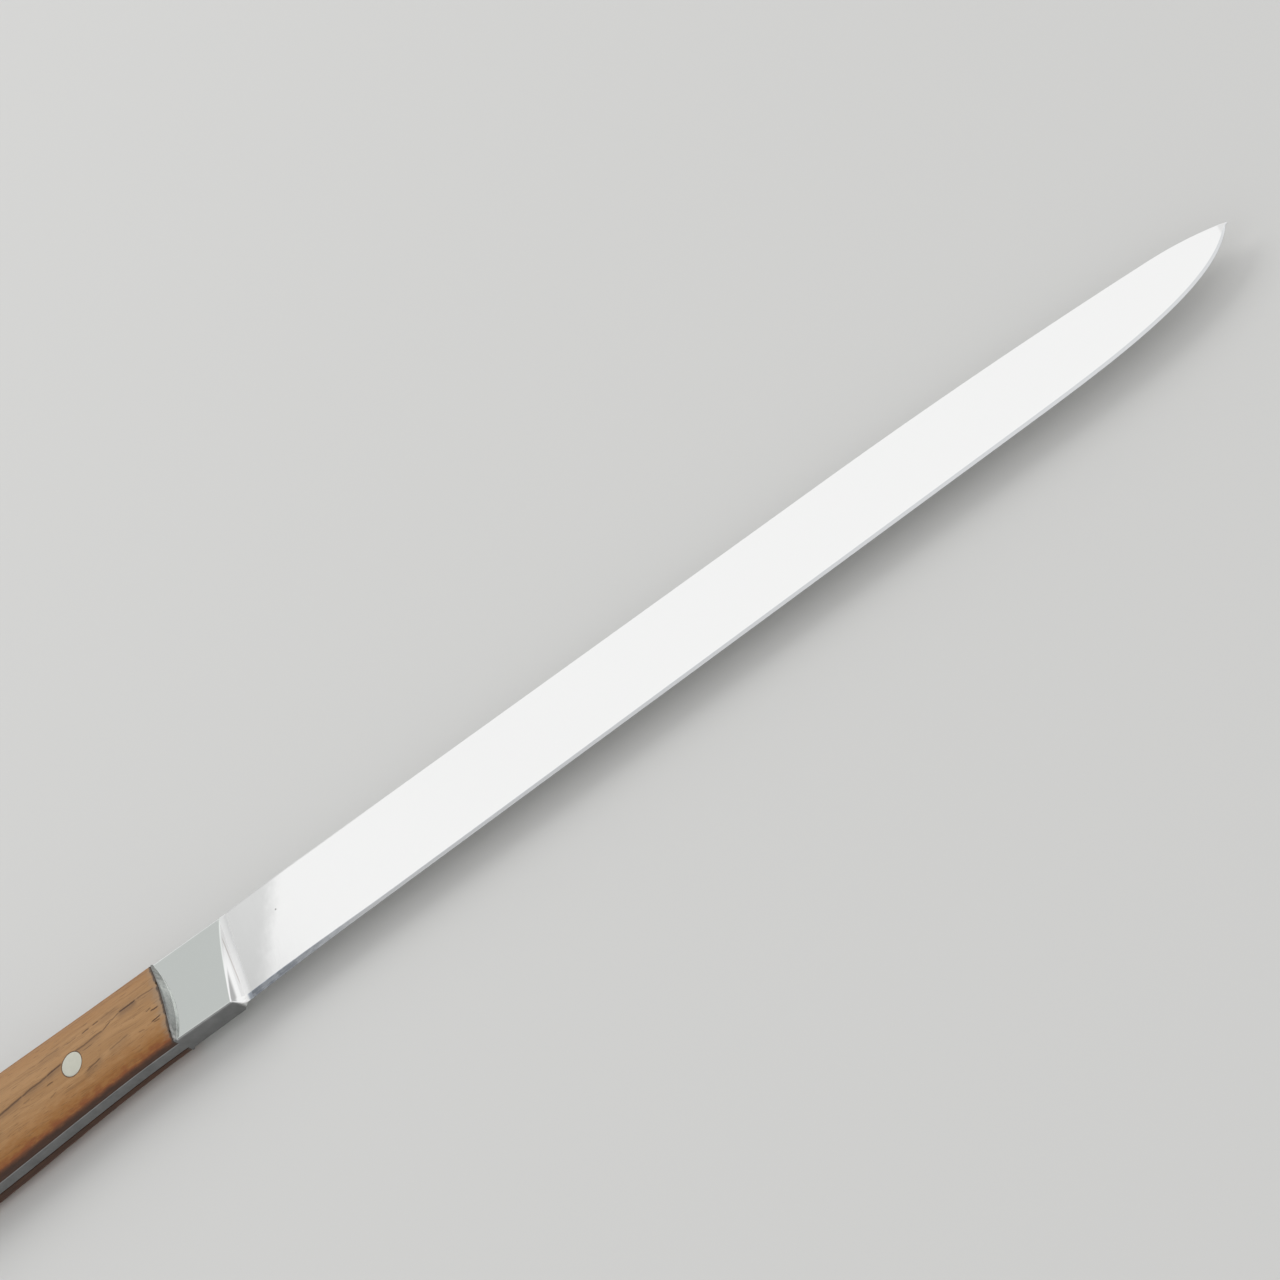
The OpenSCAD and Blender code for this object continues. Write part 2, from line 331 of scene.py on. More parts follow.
    def bevel_half_t(self, x: Array) -> Array:
        """Half thickness where the bevel meets the flank."""
        angle = np.radians(mix(self.bevel_angle, self.bevel_angle_far, self.bevel_fade(x)))
        return self.edge_t / 2 + self.bevel_w(x) * np.tan(angle)

    def spine_half_t(self, x: Array) -> Array:
        """Half thickness at the spine, thinning to the tip, where the wedge has its own limit.

        Args:
            x: Places along the knife.

        Returns:
            Half thicknesses.
        """
        taper = clamp01((self.tip_x - x) / (self.tip_x - self.plunge_end_x)) ** self.spine_taper
        half = mix(self.spine_t_tip, self.spine_t_root, taper) / 2
        return np.minimum(half, self.bevel_half_t(x) + self.wedge * self.blade_h(x))

    def flank(self, x: Array, y: Array) -> Array:
        """Height of the flat ground flank, straight from the bevel to the spine."""
        share = clamp01(1 - (self.spine_y(x) - y) / (self.blade_h(x) - self.bevel_w(x)))
        return mix(self.bevel_half_t(x), self.spine_half_t(x), share)

    def bolster_half_t(self, x: Array) -> Array:
        """Half thickness of the flat bolster, thinner towards the blade."""
        share = np.maximum(x, 0) / self.bolster_len
        return mix(self.bolster_t_rear, self.bolster_t_front, share) / 2

    def plunge(self, x: Array, y: Array) -> Array:
        """Concave wall: a cylinder of radius plunge_r that runs out into the flank."""
        rise = round_off(1 - (self.plunge_end_x - x) / self.plunge_r, self.plunge_r)
        return self.flank(np.maximum(x, self.plunge_end_x), y) + rise

    def border_x(self, y: Array) -> Array:
        """Curved border where the concave wall cuts the flat of the bolster.

        Args:
            y: Places across the knife.

        Returns:
            Places of the border along the knife.
        """
        foot = self.flank(np.full_like(y, self.plunge_end_x), y)
        flat = self.bolster_half_t(np.array(self.bolster_len + self.border_past))
        drop = np.maximum(flat - foot, self.border_drop)
        return self.plunge_end_x - np.sqrt(drop * (2 * self.plunge_r - drop))

    def arc_x(self, y: Array, bulge: float, radius: float) -> Array:
        """Arc across the handle that bulges towards the tip."""
        return bulge - radius + np.sqrt(radius ** 2 - (y - self.mid_y + self.arc_low) ** 2)

    def joint_x(self, u: Array, y: Array) -> Array:
        """Line across the handle, square near the butt and bent to the joint's arc at its front."""
        near = ease((u + self.joint_bend_len) / self.joint_bend_len)
        return mix(u, u - self.joint_bulge + self.arc_x(y, self.joint_bulge, self.joint_r), near)

    def butt_xs(self, count: int) -> Array:
        """Places along the rounded corners of the butt, closer together at its end."""
        return -self.handle_len + self.butt_r * (1 - np.cos(np.linspace(0, np.pi / 2, count)))

    def shoulder_wall(self, x: Array, y: Array) -> Array:
        """Conical wall of the shoulder: it falls as the distance from its axis grows.

        Args:
            x: Places along the knife.
            y: Places across it.

        Returns:
            Heights above the mid-plane.
        """
        reach = np.hypot(x - self.shoulder_foot + self.shoulder_r, y - self.mid_y + self.arc_low)
        half_t, run = self.bolster_t_rear / 2, (self.shoulder_r - reach) / self.shoulder_run
        return half_t + run * (self.crest_front - half_t)

    def handle_edges(self, x: Array) -> tuple[Array, Array]:
        """Lower and upper line of the handle with the two rounded corners of the butt."""
        corner = round_off(1 - (self.butt_r - self.handle_len - x) / self.butt_r, self.butt_r)
        return self.belly_y(x) + corner, self.top_y - corner

    def handle_depth(self, x: Array, y: Array) -> Array:
        """Distance inwards from the outline of the handle, butt corners included.

        Args:
            x: Places along the knife.
            y: Places across it.

        Returns:
            Distances, below zero outside the outline.
        """
        low = self.belly_y(np.full_like(x, -self.handle_len))
        r = self.butt_r
        side = np.minimum(self.top_y - y, y - self.belly_y(x))
        end = x + self.handle_len
        centre_x = r - self.handle_len
        near = np.minimum(y - low, self.top_y - y)
        corner = r - np.hypot(np.minimum(x - centre_x, 0), np.minimum(near - r, 0))
        return np.where((x < centre_x) & (near < r), corner, np.minimum(side, end))


class Flank(Enum):
    """The two flanks of the knife lying on its side."""

    UPPER = 1
    LOWER = -1


def add_object(name: str, data: Any) -> Piece:
    """Put an object with its data into the scene.

    Args:
        name: Its name.
        data: Its mesh, camera or lamp.

    Returns:
        The new object.
    """
    piece = bpy.data.objects.new(name, data)
    bpy.context.scene.collection.objects.link(piece)
    return piece


def facing(place: Sequence[float], aim: Sequence[float]) -> Matrix:
    """Matrix that stands a camera or a lamp at a place and points it at its aim."""
    turn = (Vector(aim) - Vector(place)).to_track_quat("-Z", "Y").to_matrix().to_4x4()
    return Matrix.Translation(place) @ turn


def write_mesh(name: str, points: Array, faces: list[list[int]], form: KnifeForm) -> Piece:
    """Make a mesh object in the shared frame from millimetres in the knife's own zero.

    Args:
        name: Name of the piece.
        points: Rows of x, y, z.
        faces: Lists of three or four point numbers.
        form: Sizes of the knife, for the place of its zero.

    Returns:
        The new object.
    """
    mesh = bpy.data.meshes.new(name)
    mesh.from_pydata(((points + form.origin) * MM).tolist(), [], faces)
    mesh.shade_smooth()
    return add_object(name, mesh)


def add_mask(piece: Piece, name: str, values: Array) -> None:
    """Store one number a point, which a finish reads by name."""
    layer = piece.data.attributes.new(name, "FLOAT", "POINT")
    layer.data.foreach_set("value", np.ascontiguousarray(values, np.float32).ravel())


def dress(piece: Piece, material: bpy.types.Material, sharp: float, node: str) -> Piece:
    """Finish a piece, attach it to the body and hide the CAD node that it stands for.

    Args:
        piece: The piece.
        material: Its finish.
        sharp: Edges that turn by more than these degrees stay sharp, the rest is smooth.
        node: The CAD node that it replaces.

    Returns:
        The same piece.
    """
    piece.data.set_sharp_from_angle(angle=math.radians(sharp))
    piece.data.materials.append(material)
    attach(piece, BODY)
    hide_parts(node)
    return piece


def ring_walls(rings: int, around: int) -> Array:
    """Quads between neighbouring closed rings, facing outward.

    Args:
        rings: Count of rings.
        around: Points on a ring.

    Returns:
        Rows of four point numbers.
    """
    i = np.arange(rings - 1)[:, None] * around
    j = np.arange(around)[None, :]
    k = (j + 1) % around
    return np.stack([i + j, i + around + j, i + around + k, i + k], -1).reshape(-1, 4)


def loop_faces(rings: int, around: int, mirrored: bool = False) -> list[list[int]]:
    """Faces between neighbouring closed rings, with both end rings filled.

    A ring runs from its first point up one side and back down the other, so an end is filled by a
    row of quads between points that mirror each other, with a triangle at each end of the row.

    Args:
        rings: Count of rings.
        around: Points on a ring, an even number.
        mirrored: Whether the rings lie mirrored, which turns the order in each face.

    Returns:
        Lists of four or three point numbers, in the order that makes a face look outward.
    """
    half = around // 2
    a = np.arange(1, half - 1)
    row = np.stack([a, a + 1, around - a - 1, around - a], -1)
    ends = np.array([[0, 1, around - 1], [half, half + 1, half - 1]])
    last = (rings - 1) * around
    quads = np.concatenate([ring_walls(rings, around), row, row[:, ::-1] + last])
    triangles = np.concatenate([ends, ends[:, ::-1] + last])
    order = -1 if mirrored else 1
    return quads[:, ::order].tolist() + triangles[:, ::order].tolist()


def lathe(name: str, profile: Array, centre: Array, form: KnifeForm, around: int = 72) -> Piece:
    """Turn a closed profile about an upright axis; the profile starts and ends on the axis.

    Args:
        name: Name of the piece.
        profile: Rows of radius and height, from the top on the axis down to the bottom on the axis.
        centre: Place of the axis, x and y.
        form: Sizes of the knife.
        around: Points on each circle.

    Returns:
        The new object, with closed poles.
    """
    ring = np.arange(around)
    turn = ring * 2 * np.pi / around
    body = profile[1:-1]
    xy = centre + body[:, None, :1] * np.stack([np.cos(turn), np.sin(turn)], -1)
    z = np.repeat(body[:, None, 1:], around, 1)
    rim = np.concatenate([xy, z], -1).reshape(-1, 3)
    poles = np.array([[*centre, profile[0, 1]], [*centre, profile[-1, 1]]])
    top, bottom, last = len(rim), len(rim) + 1, (len(body) - 1) * around
    after = (ring + 1) % around
    top_cap = np.stack([np.full(around, top), ring, after], -1)
    bottom_cap = np.stack([np.full(around, bottom), last + after, last + ring], -1)
    faces = ring_walls(len(body), around).tolist() + top_cap.tolist() + bottom_cap.tolist()
    return write_mesh(name, np.concatenate([rim, poles]), faces, form)


def drill(piece: Piece, form: KnifeForm, steps: Callable[[float], Steps], flank: Flank) -> None:
    """Cut a stepped round hole for each rivet out of a piece.

    Args:
        piece: The piece to drill; its mesh is replaced.
        form: Sizes of the knife.
        steps: Gives radius and height of each rim, from the top down, for a rivet's place.
        flank: The flank from which the holes are seen; the lower one turns them over.
    """
    bores = []
    for x in form.rivet_xs:
        rims = np.array(steps(x), float)
        if flank is Flank.LOWER:
            rims = rims[::-1] * (1, -1)
        ends = rims[[0, -1]] * (0, 1)
        profile = np.concatenate([ends[:1], rims, ends[1:]])
        bores.append(lathe("bore", profile, form.rivet_centre(x), form))
        cut = piece.modifiers.new("bore", "BOOLEAN")
        cut.operation, cut.solver, cut.object = "DIFFERENCE", "EXACT", bores[-1]
    graph = bpy.context.evaluated_depsgraph_get()
    solid = bpy.data.meshes.new_from_object(piece.evaluated_get(graph))
    piece.modifiers.clear()
    piece.data = solid
    for bore in bores:
        bpy.data.objects.remove(bore)


@dataclass
class RingPlan:
    """How the points of one cross ring are spread over wall, corner and face."""

    wall: int = 4
    corner: int = 8
    face: int = 72
    crowding: float = 0.65
    swell: float = 0.01

    def face_shares(self) -> Array:
        """Shares across the face, closer together near both sides."""
        t = np.linspace(0, 1, self.face)
        return mix(t, 0.5 - 0.5 * np.cos(np.pi * t), self.crowding)


@dataclass
class RingSides:
    """One side of the rings: where the wall stands and how it turns into the face.

    All values are columns with one row a ring.
    """

    rim_y: Array
    face_y: Array
    rim_z: Array
    roundness: Array


def half_rings(
    plan: RingPlan, low: RingSides, high: RingSides, along: Line, height: Surface, floor: Array
) -> Array:
    """Upper half of each ring, from the lower side's floor over the face to the upper side's floor.

    The corner is a quarter ellipse where roundness is 1 and a straight bevel where it is 0. Its
    height at the rim is rim_z and at the face the surface's own. The wall swells outward by the
    plan's swell towards its foot, so that no points of an end ring stand on one line.

    Args:
        plan: Count of points in each stretch.
        low: The side at the edge or belly.
        high: The side at the spine.
        along: Gives x for the ring's points from their y.
        height: Gives z of the face from x and y.
        floor: Height at which the walls start, one row a ring.

    Returns:
        Array of rings, points and 3 coordinates.
    """
    u = np.linspace(0, 1, plan.corner)[None, :]
    wall_u = np.linspace(0, 1, plan.wall + 1)[None, :-1]

    def side(s: RingSides) -> tuple[Array, Array]:
        """Wall and corner of one side.

        Args:
            s: The side.

        Returns:
            y and z of its points from the floor to the face.
        """
        across = mix(u, 1 - np.cos(u * np.pi / 2), s.roundness)
        up = mix(u, np.sin(u * np.pi / 2), s.roundness)
        y = mix(s.rim_y, s.face_y, across)
        z = mix(s.rim_z, height(along(s.face_y), s.face_y), up)
        wall_y = s.rim_y + np.sign(s.rim_y - s.face_y) * plan.swell * (1 - wall_u ** 2)
        wall_z = mix(floor, s.rim_z, wall_u)
        return np.concatenate([wall_y, y], 1), np.concatenate([wall_z, z], 1)

    low_y, low_z = side(low)
    high_y, high_z = side(high)
    face_y = mix(low.face_y, high.face_y, plan.face_shares()[None, 1:-1])
    y = np.concatenate([low_y, face_y, high_y[:, ::-1]], 1)
    z = np.concatenate([low_z, height(along(face_y), face_y), high_z[:, ::-1]], 1)
    return np.stack([along(y), y, z], -1)


@dataclass(frozen=True)
class SteelZones:
    """Where each treatment of the forging's steel lies, as masks that its finish reads."""

    form: KnifeForm
    height: Surface
    honed_soft: float = 0.06
    honed_back: float = 1.0
    honed_run: float = 0.8
    belly_h: float = 0.3
    belly_soft: float = 0.2
    belly_run: float = 2.0
    butt_clear: float = 2.0
    butt_run: float = 16.0
    wall_rise: float = 0.02
    wall_soft: float = 0.05
    wall_span: Span = (-1.5, 4.0)
    wall_least: float = 0.2
    # Upper share of the shoulder wall where near-black shade with some grime is painted.
    grime_and_shade_from: float = 0.66
    grime_and_shade_run: float = 0.30
    ends_share: float = 0.85
    ends_drop: float = 1.0
    ends_clear: float = 3.0
    ends_run: float = 5.0
    flat_short: float = 0.3
    flat_sink: float = 0.05
    haze_ahead: float = 0.7
    haze_back: float = 1.2
    haze_soft: float = 0.6
    mark_back: float = 1.55
    mark_slope: float = 0.045
    mark_y: float = -17.7
    mark_w: float = 0.075
    mark_span: Span = (-19.0, -5.0)
    mark_fade: float = 2.0

    def masks(self, x: Array, y: Array, z: Array) -> dict[str, Array]:
        """Find the zones of the skin's points.

        Args:
            x: Places along the knife.
            y: Places across it.
            z: Heights, on either flank.

        Returns:
            "honed" on the bevel, "belly" on the narrow faces under bolster and tang, where the
            finish paints a dark grey as shade, "wall" on the shoulder walls, "soil" on their ends
            and their upper part beside the wood, where the finish paints near-black shade with some
            grime, "flat" on the bolster's flats, "haze" along the run-out of the concave wall and
            "mark" on one fine grinding line.
        """
        f = self.form
        up = np.abs(z)
        back = f.plunge_end_x - x
        edge = y - f.edge_y(x)
        honed = clamp01(1 - (edge - f.bevel_w(x)) / self.honed_soft)
        belly = clamp01((self.belly_h - edge) / self.belly_soft)
        belly = belly * (1 - ease((x - f.bolster_len) / self.belly_run))
        rise = up - f.bolster_half_t(x)
        near = (x > self.wall_span[0]) & (x < self.wall_span[1])
        wall = clamp01((rise - self.wall_rise) / self.wall_soft) * np.where(near, 1, 0)
        share = rise / np.maximum(f.dome(x, y) - f.bolster_half_t(x), self.wall_least)
        top = ease((clamp01(share) - self.grime_and_shade_from) / self.grime_and_shade_run)
        ends = (np.abs(y - f.mid_y + self.ends_drop) - self.ends_clear) / self.ends_run
        border = f.border_x(y) - self.flat_short * clamp01(-y / f.bolster_h)
        flat = (x < border) & (up > self.height(x, y) - self.flat_sink)
        haze = ease((back + self.haze_ahead) / self.haze_soft)
        line = self.mark_back + self.mark_slope * (y - self.mark_y)
        mark = np.exp(-(((back - line) / self.mark_w) ** 2))
        mark = mark * ease((y - self.mark_span[0]) / self.mark_fade)
        return {
            "honed": honed * ease((self.honed_back - back) / self.honed_run),
            # Narrow lower faces: the finish paints a dark grey there as shade and dulls them.
            "belly": belly * ease((x + f.handle_len - self.butt_clear) / self.butt_run),
            "wall": wall,
            # Painted shade with some grime: upper part and ends of the shoulder walls beside the
            # wood.
            "grime_and_shade": wall * np.maximum(top, self.ends_share * ease(ends)),
            "flat": np.where(flat, 1.0, 0.0),
            "haze": haze * (1 - ease((back - self.haze_back) / self.haze_soft)),
            "mark": mark * ease((self.mark_span[1] - y) / self.mark_fade),
        }


@dataclass
class Forging:
    """Blade, bolster and tang in one piece, as a skin over rings across the knife."""

    form: KnifeForm
    plan: RingPlan = field(default_factory=RingPlan)
    butt_rings: int = 14
    tang_run_rings: int = 26
    shoulder_rings: int = 48
    flat_rings: int = 26
    border_rings: int = 26
    plunge_rings: int = 56
    flank_rings: int = 128
    tip_crowding: float = 1.5
    ring_gap: float = 0.02
    edge_round: float = 0.3
    edge_reach: float = 0.5
    lip_round: float = 0.55
    lip_lead: float = 0.2
    honed_lead: float = 1.3
    honed_past: float = 0.3
    spine_reach: float = 0.3
    spine_start: float = 16.0
    spine_run: float = 12.0
    border_back: float = 0.45
    border_ahead: float = 0.35
    border_round: float = 0.45
    border_thin: float = 0.35
    plunge_past: float = 0.6
    foot_past: float = 0.3
    foot_round: float = 0.06
    top_round: float = 0.6
    shoulder_end: float = 8.0
    tip_ring_share: float = 1.4
    tip_ring_h: float = 0.05
    corner_share: float = 0.25
    drop_share: float = 0.7
    bore_past: float = 8.0
    sharp: float = 50.0

    def height(self, x: Array, y: Array) -> Array:
        """Surface of shoulder, flat, concave wall and flank.

        Behind, it is the larger of the flat and the shoulder, which is the smaller of dome and
        steep wall. Ahead, it is the smaller of the flat and the concave wall, and then the flank.

        Args:
            x: Places along the knife.
            y: Places across it.

        Returns:
            Heights above the mid-plane.
        """
        f = self.form
        shoulder = soft_min(f.dome(x, y), f.shoulder_wall(x, y), self.top_round)
        shoulder = np.where(x < self.shoulder_end, shoulder, 0)
        flat = soft_max(f.bolster_half_t(x), shoulder, self.foot_round)
        width = mix(self.border_thin, 1.0, clamp01(-y / f.bolster_h)) * self.border_round
        ground = soft_min(flat, f.plunge(x, y), width)
        return np.where(x < f.plunge_end_x, ground, f.flank(x, y))

    def plain_rings(self, low: Array, high: Array, along: Line, height: Surface) -> Array:
        """Rings with upright sides and lightly rounded edges.

        Args:
            low: Lower line, one row a ring.
            high: Upper line, one row a ring.
            along: Gives x for the ring's points from their y.
            height: Gives z of the face from x and y.

        Returns:
            Array of rings, points and 3 coordinates.
        """

        def side(rim: Array, inward: float) -> RingSides:
            """One side, whose edge is rounded inwards from its rim."""
            face = rim + inward * self.edge_reach
            return RingSides(rim, face, height(along(face), face) - self.edge_round, round_all)

        floor, round_all = np.zeros_like(low), np.ones_like(low)
        return half_rings(self.plan, side(low, 1), side(high, -1), along, height, floor)

    def tang_rings(self) -> Array:
        """Rings of the tang, from the butt to the arc under the front end of the wood.

        Returns:
            Array of rings, points and 3 coordinates.
        """
        f = self.form
        butt = f.butt_xs(self.butt_rings)
        run = np.linspace(butt[-1], f.joint_bulge - self.ring_gap, self.tang_run_rings)[1:]
        u = np.concatenate([butt, run])[:, None]
        low, high = f.handle_edges(np.minimum(u, 0))
        return self.plain_rings(
            low, high, lambda y: f.joint_x(u, y),
            lambda x, y: np.full(np.broadcast(x, y).shape, f.tang_t / 2),
        )

    def bolster_rings(self) -> Array:
        """Rings from the front end of the wood, over the shoulder, to just before the border.

        Returns:
            Array of rings, points and 3 coordinates.
        """
        f = self.form
        over = np.linspace(0, 1, self.shoulder_rings)
        ahead = np.linspace(0, 1, self.flat_rings)[1:]
        over = np.concatenate([over, np.ones_like(ahead)])[:, None]
        ahead = np.concatenate([np.zeros(self.shoulder_rings), ahead])[:, None]

        def along(y: Array) -> Array:
            """Pass from the wood's arc over the shoulder's foot to the border.

            Args:
                y: Places across the knife.

            Returns:
                Places along it, one row a ring.
            """
            wood = f.arc_x(y, f.joint_bulge, f.joint_r)
            foot = f.arc_x(y, f.shoulder_foot, f.shoulder_r) + self.foot_past
            return mix(mix(wood, foot, over), f.border_x(y) - self.border_back, ahead)

        low, high = np.full_like(over, f.front_belly_y), np.full_like(over, f.top_y)
        return self.plain_rings(low, high, along, self.height)

    def blade_rings(self) -> Array:
        """Rings from the border, down the concave wall and along the flank to the tip.

        The first rings follow the border, the next spread to the straight line where the wall runs
        out, and the rest stand square. The belly side turns from the bolster's rounded corner into
        the honed bevel on the way down the wall.

        Returns:
            Array of rings, points and 3 coordinates.
        """
        f = self.form
        border = np.linspace(-self.border_back, self.border_ahead, self.border_rings)[1:]
        wall = np.linspace(0, 1, self.plunge_rings)[1:]
        run = np.linspace(0, 1, self.flank_rings)[1:]
        end = f.plunge_end_x + self.plunge_past
        far = mix(end, f.tip_x, 1 - (1 - run) ** self.tip_crowding)
        step = np.concatenate([border, np.full_like(wall, border[-1]), 0 * far])[:, None]
        spread = np.concatenate([0 * border, wall, np.ones_like(far)])[:, None]
        beyond = np.concatenate([np.full(len(border) + len(wall), end), far])[:, None]

        def along(y: Array) -> Array:
            """Pass from the border's curve to square lines."""
            return mix(f.border_x(y) + step, beyond, spread)

        low_x = along(np.full_like(beyond, f.front_belly_y))
        past = low_x - f.bolster_len
        wall_len = f.plunge_end_x - f.bolster_len
        honed = ease((past - self.honed_lead) / (wall_len - self.honed_lead + self.honed_past))
        lip = ease(past + self.lip_lead)
        round_r = mix(self.edge_round, self.lip_round, lip)
        low_rim = f.edge_y(low_x)
        width = mix(mix(self.edge_reach, self.lip_round, lip), f.bevel_w(low_x), honed)
        face_y = low_rim + width
        face_z = self.height(along(face_y), face_y)
        rim_z = mix(face_z - round_r, f.edge_t / 2, honed)
        low = RingSides(low_rim, face_y, rim_z, 1 - honed)

        x_top = along(np.full_like(beyond, f.top_y))
        least = self.tip_ring_share * width + self.tip_ring_h
        high_rim = np.maximum(f.spine_y(x_top), low_rim + least)
        narrow = ease((x_top - self.spine_start) / self.spine_run)
        reach = mix(self.edge_reach, self.spine_reach, narrow)
        r = np.minimum(reach, self.corner_share * (high_rim - low_rim))
        top_z = self.height(along(high_rim - r), high_rim - r)
        drop = np.minimum(self.edge_round, self.drop_share * top_z)
        high = RingSides(high_rim, high_rim - r, top_z - drop, np.ones_like(r))
        return half_rings(self.plan, low, high, along, self.height, np.zeros_like(r))

    def build(self, steel: bpy.types.Material) -> Piece:
        """Join the stretches of rings, mirror them about the mid-plane and write the mesh.

        Args:
            steel: Finish of the forging.

        Returns:
            The new piece.
        """
        upper = np.concatenate([self.tang_rings(), self.bolster_rings(), self.blade_rings()])
        lower = upper[:, -2:0:-1] * np.array([1, 1, -1])
        rings = np.concatenate([upper, lower], 1)
        points = rings.reshape(-1, 3)
        piece = write_mesh("forged_blade", points, loop_faces(*rings.shape[:2]), self.form)
        f = self.form
        for name, values in SteelZones(f, self.height).masks(*points.T).items():
            add_mask(piece, name, values)
        rims = [(f.tube_d / 2 + f.rivet_play, z) for z in (self.bore_past, -self.bore_past)]
        drill(piece, f, lambda x: rims, Flank.UPPER)
        return dress(piece, steel, self.sharp, "blade")


@dataclass
class Scale:
    """One domed wooden scale, as a skin over rings across the handle."""

    form: KnifeForm
    flank: Flank
    name: str
    node: str
    seed: int
    butt_rings: int = 16
    run_rings: int = 90
    mid_rings: int = 16
    front_rings: int = 9
    mid_x: float = -2.0
    edge_round: float = 0.9
    front_round: float = 0.35
    worn: float = 0.05
    worn_waves: Waves = (12, 0.8, 4.0)
    ragged: float = 0.26
    ragged_waves: Waves = (12, 0.8, 4.5)
    ragged_row: float = 5.0
    ragged_len: float = 1.5
    wavy: float = 0.006
    wavy_waves: Waves = (10, 0.1, 0.6)
    sunk: float = 0.01
    bore_past: float = 9.0
    sharp: float = 40.0
    plan: RingPlan = field(default_factory=lambda: RingPlan(3, 10, 64))

    def height(self, x: Array, y: Array) -> Array:
        """Dome, rounded off within edge_round of the outline and front_round of the front end.

        Args:
            x: Places along the knife.
            y: Places across it.

        Returns:
            Heights above the mid-plane, lower where the wood is worn beside the joint.
        """
        f = self.form
        back = f.arc_x(y, f.joint_bulge - f.glue_gap, f.joint_r) - x
        top = f.dome(x, y) - round_off(f.handle_depth(x, y) / self.edge_round, self.edge_round)
        top = top - round_off(back / self.front_round, self.front_round)
        worn = self.worn * ripple(x, y, self.seed, *self.worn_waves)
        worn = worn * np.exp(-back / self.ragged_len)
        wavy = self.wavy * ripple(x, y, self.seed + 1, *self.wavy_waves)
        return top + np.minimum(worn, 0) + wavy - self.sunk

    def hole(self, x: float) -> Steps:
        """Steps of the hole for the tube, with a counterbore for the head.

        Args:
            x: Place of the rivet along the handle.

        Returns:
            Radius and height of each rim, from the top down.
        """
        f = self.form
        seat = f.head_seat(x)
        narrow, wide = f.tube_d / 2 + f.rivet_play, f.head_d / 2 + f.rivet_play
        return [(wide, self.bore_past), (wide, seat), (narrow, seat), (narrow, -self.bore_past)]

    def build(self, wood: bpy.types.Material) -> Piece:
        """Lay the rings from butt to front end, cut the rivet holes and write the mesh.

        Args:
            wood: Finish of the scale.

        Returns:
            The new piece.
        """
        f = self.form
        butt = f.butt_xs(self.butt_rings)
        run = np.linspace(butt[-1], self.mid_x, self.run_rings)[1:]
        turn = np.linspace(np.pi / 2, 0, self.front_rings)
        front = f.joint_bulge - f.glue_gap - self.front_round * (1 - np.cos(turn))
        mid = np.linspace(self.mid_x, front[0], self.mid_rings)[1:-1]
        u = np.concatenate([butt, run, mid, front])[:, None]
        low, high = f.handle_edges(np.minimum(u, 0))
        fade = np.exp((u - f.joint_bulge) / self.ragged_len)

        def along(y: Array) -> Array:
            """Bend to the joint's arc, with a ragged front end."""
            ragged = ripple(0 * y + self.ragged_row, y, self.seed + 2, *self.ragged_waves)
            return f.joint_x(u, y) - self.ragged * np.maximum(ragged, 0) * fade

        def side(rim: Array, inward: float) -> RingSides:
            """One side, rounded inwards from its rim."""
            face = rim + inward * self.edge_round
            return RingSides(rim, face, self.height(along(rim), rim), np.ones_like(u))

        base = np.full_like(u, f.tang_t / 2 + f.glue_gap)
        upper = half_rings(self.plan, side(low, 1), side(high, -1), along, self.height, base)
        flat_y = mix(high, low, np.linspace(0, 1, upper.shape[1])[None, 1:-1])
        flat = np.stack([along(flat_y), flat_y, np.broadcast_to(base, flat_y.shape)], -1)
        rings = np.concatenate([upper, flat], 1) * np.array([1, 1, self.flank.value])
        faces = loop_faces(*rings.shape[:2], self.flank is Flank.LOWER)
        piece = write_mesh(self.name, rings.reshape(-1, 3), faces, f)
        drill(piece, f, self.hole, self.flank)
        return dress(piece, wood, self.sharp, self.node)


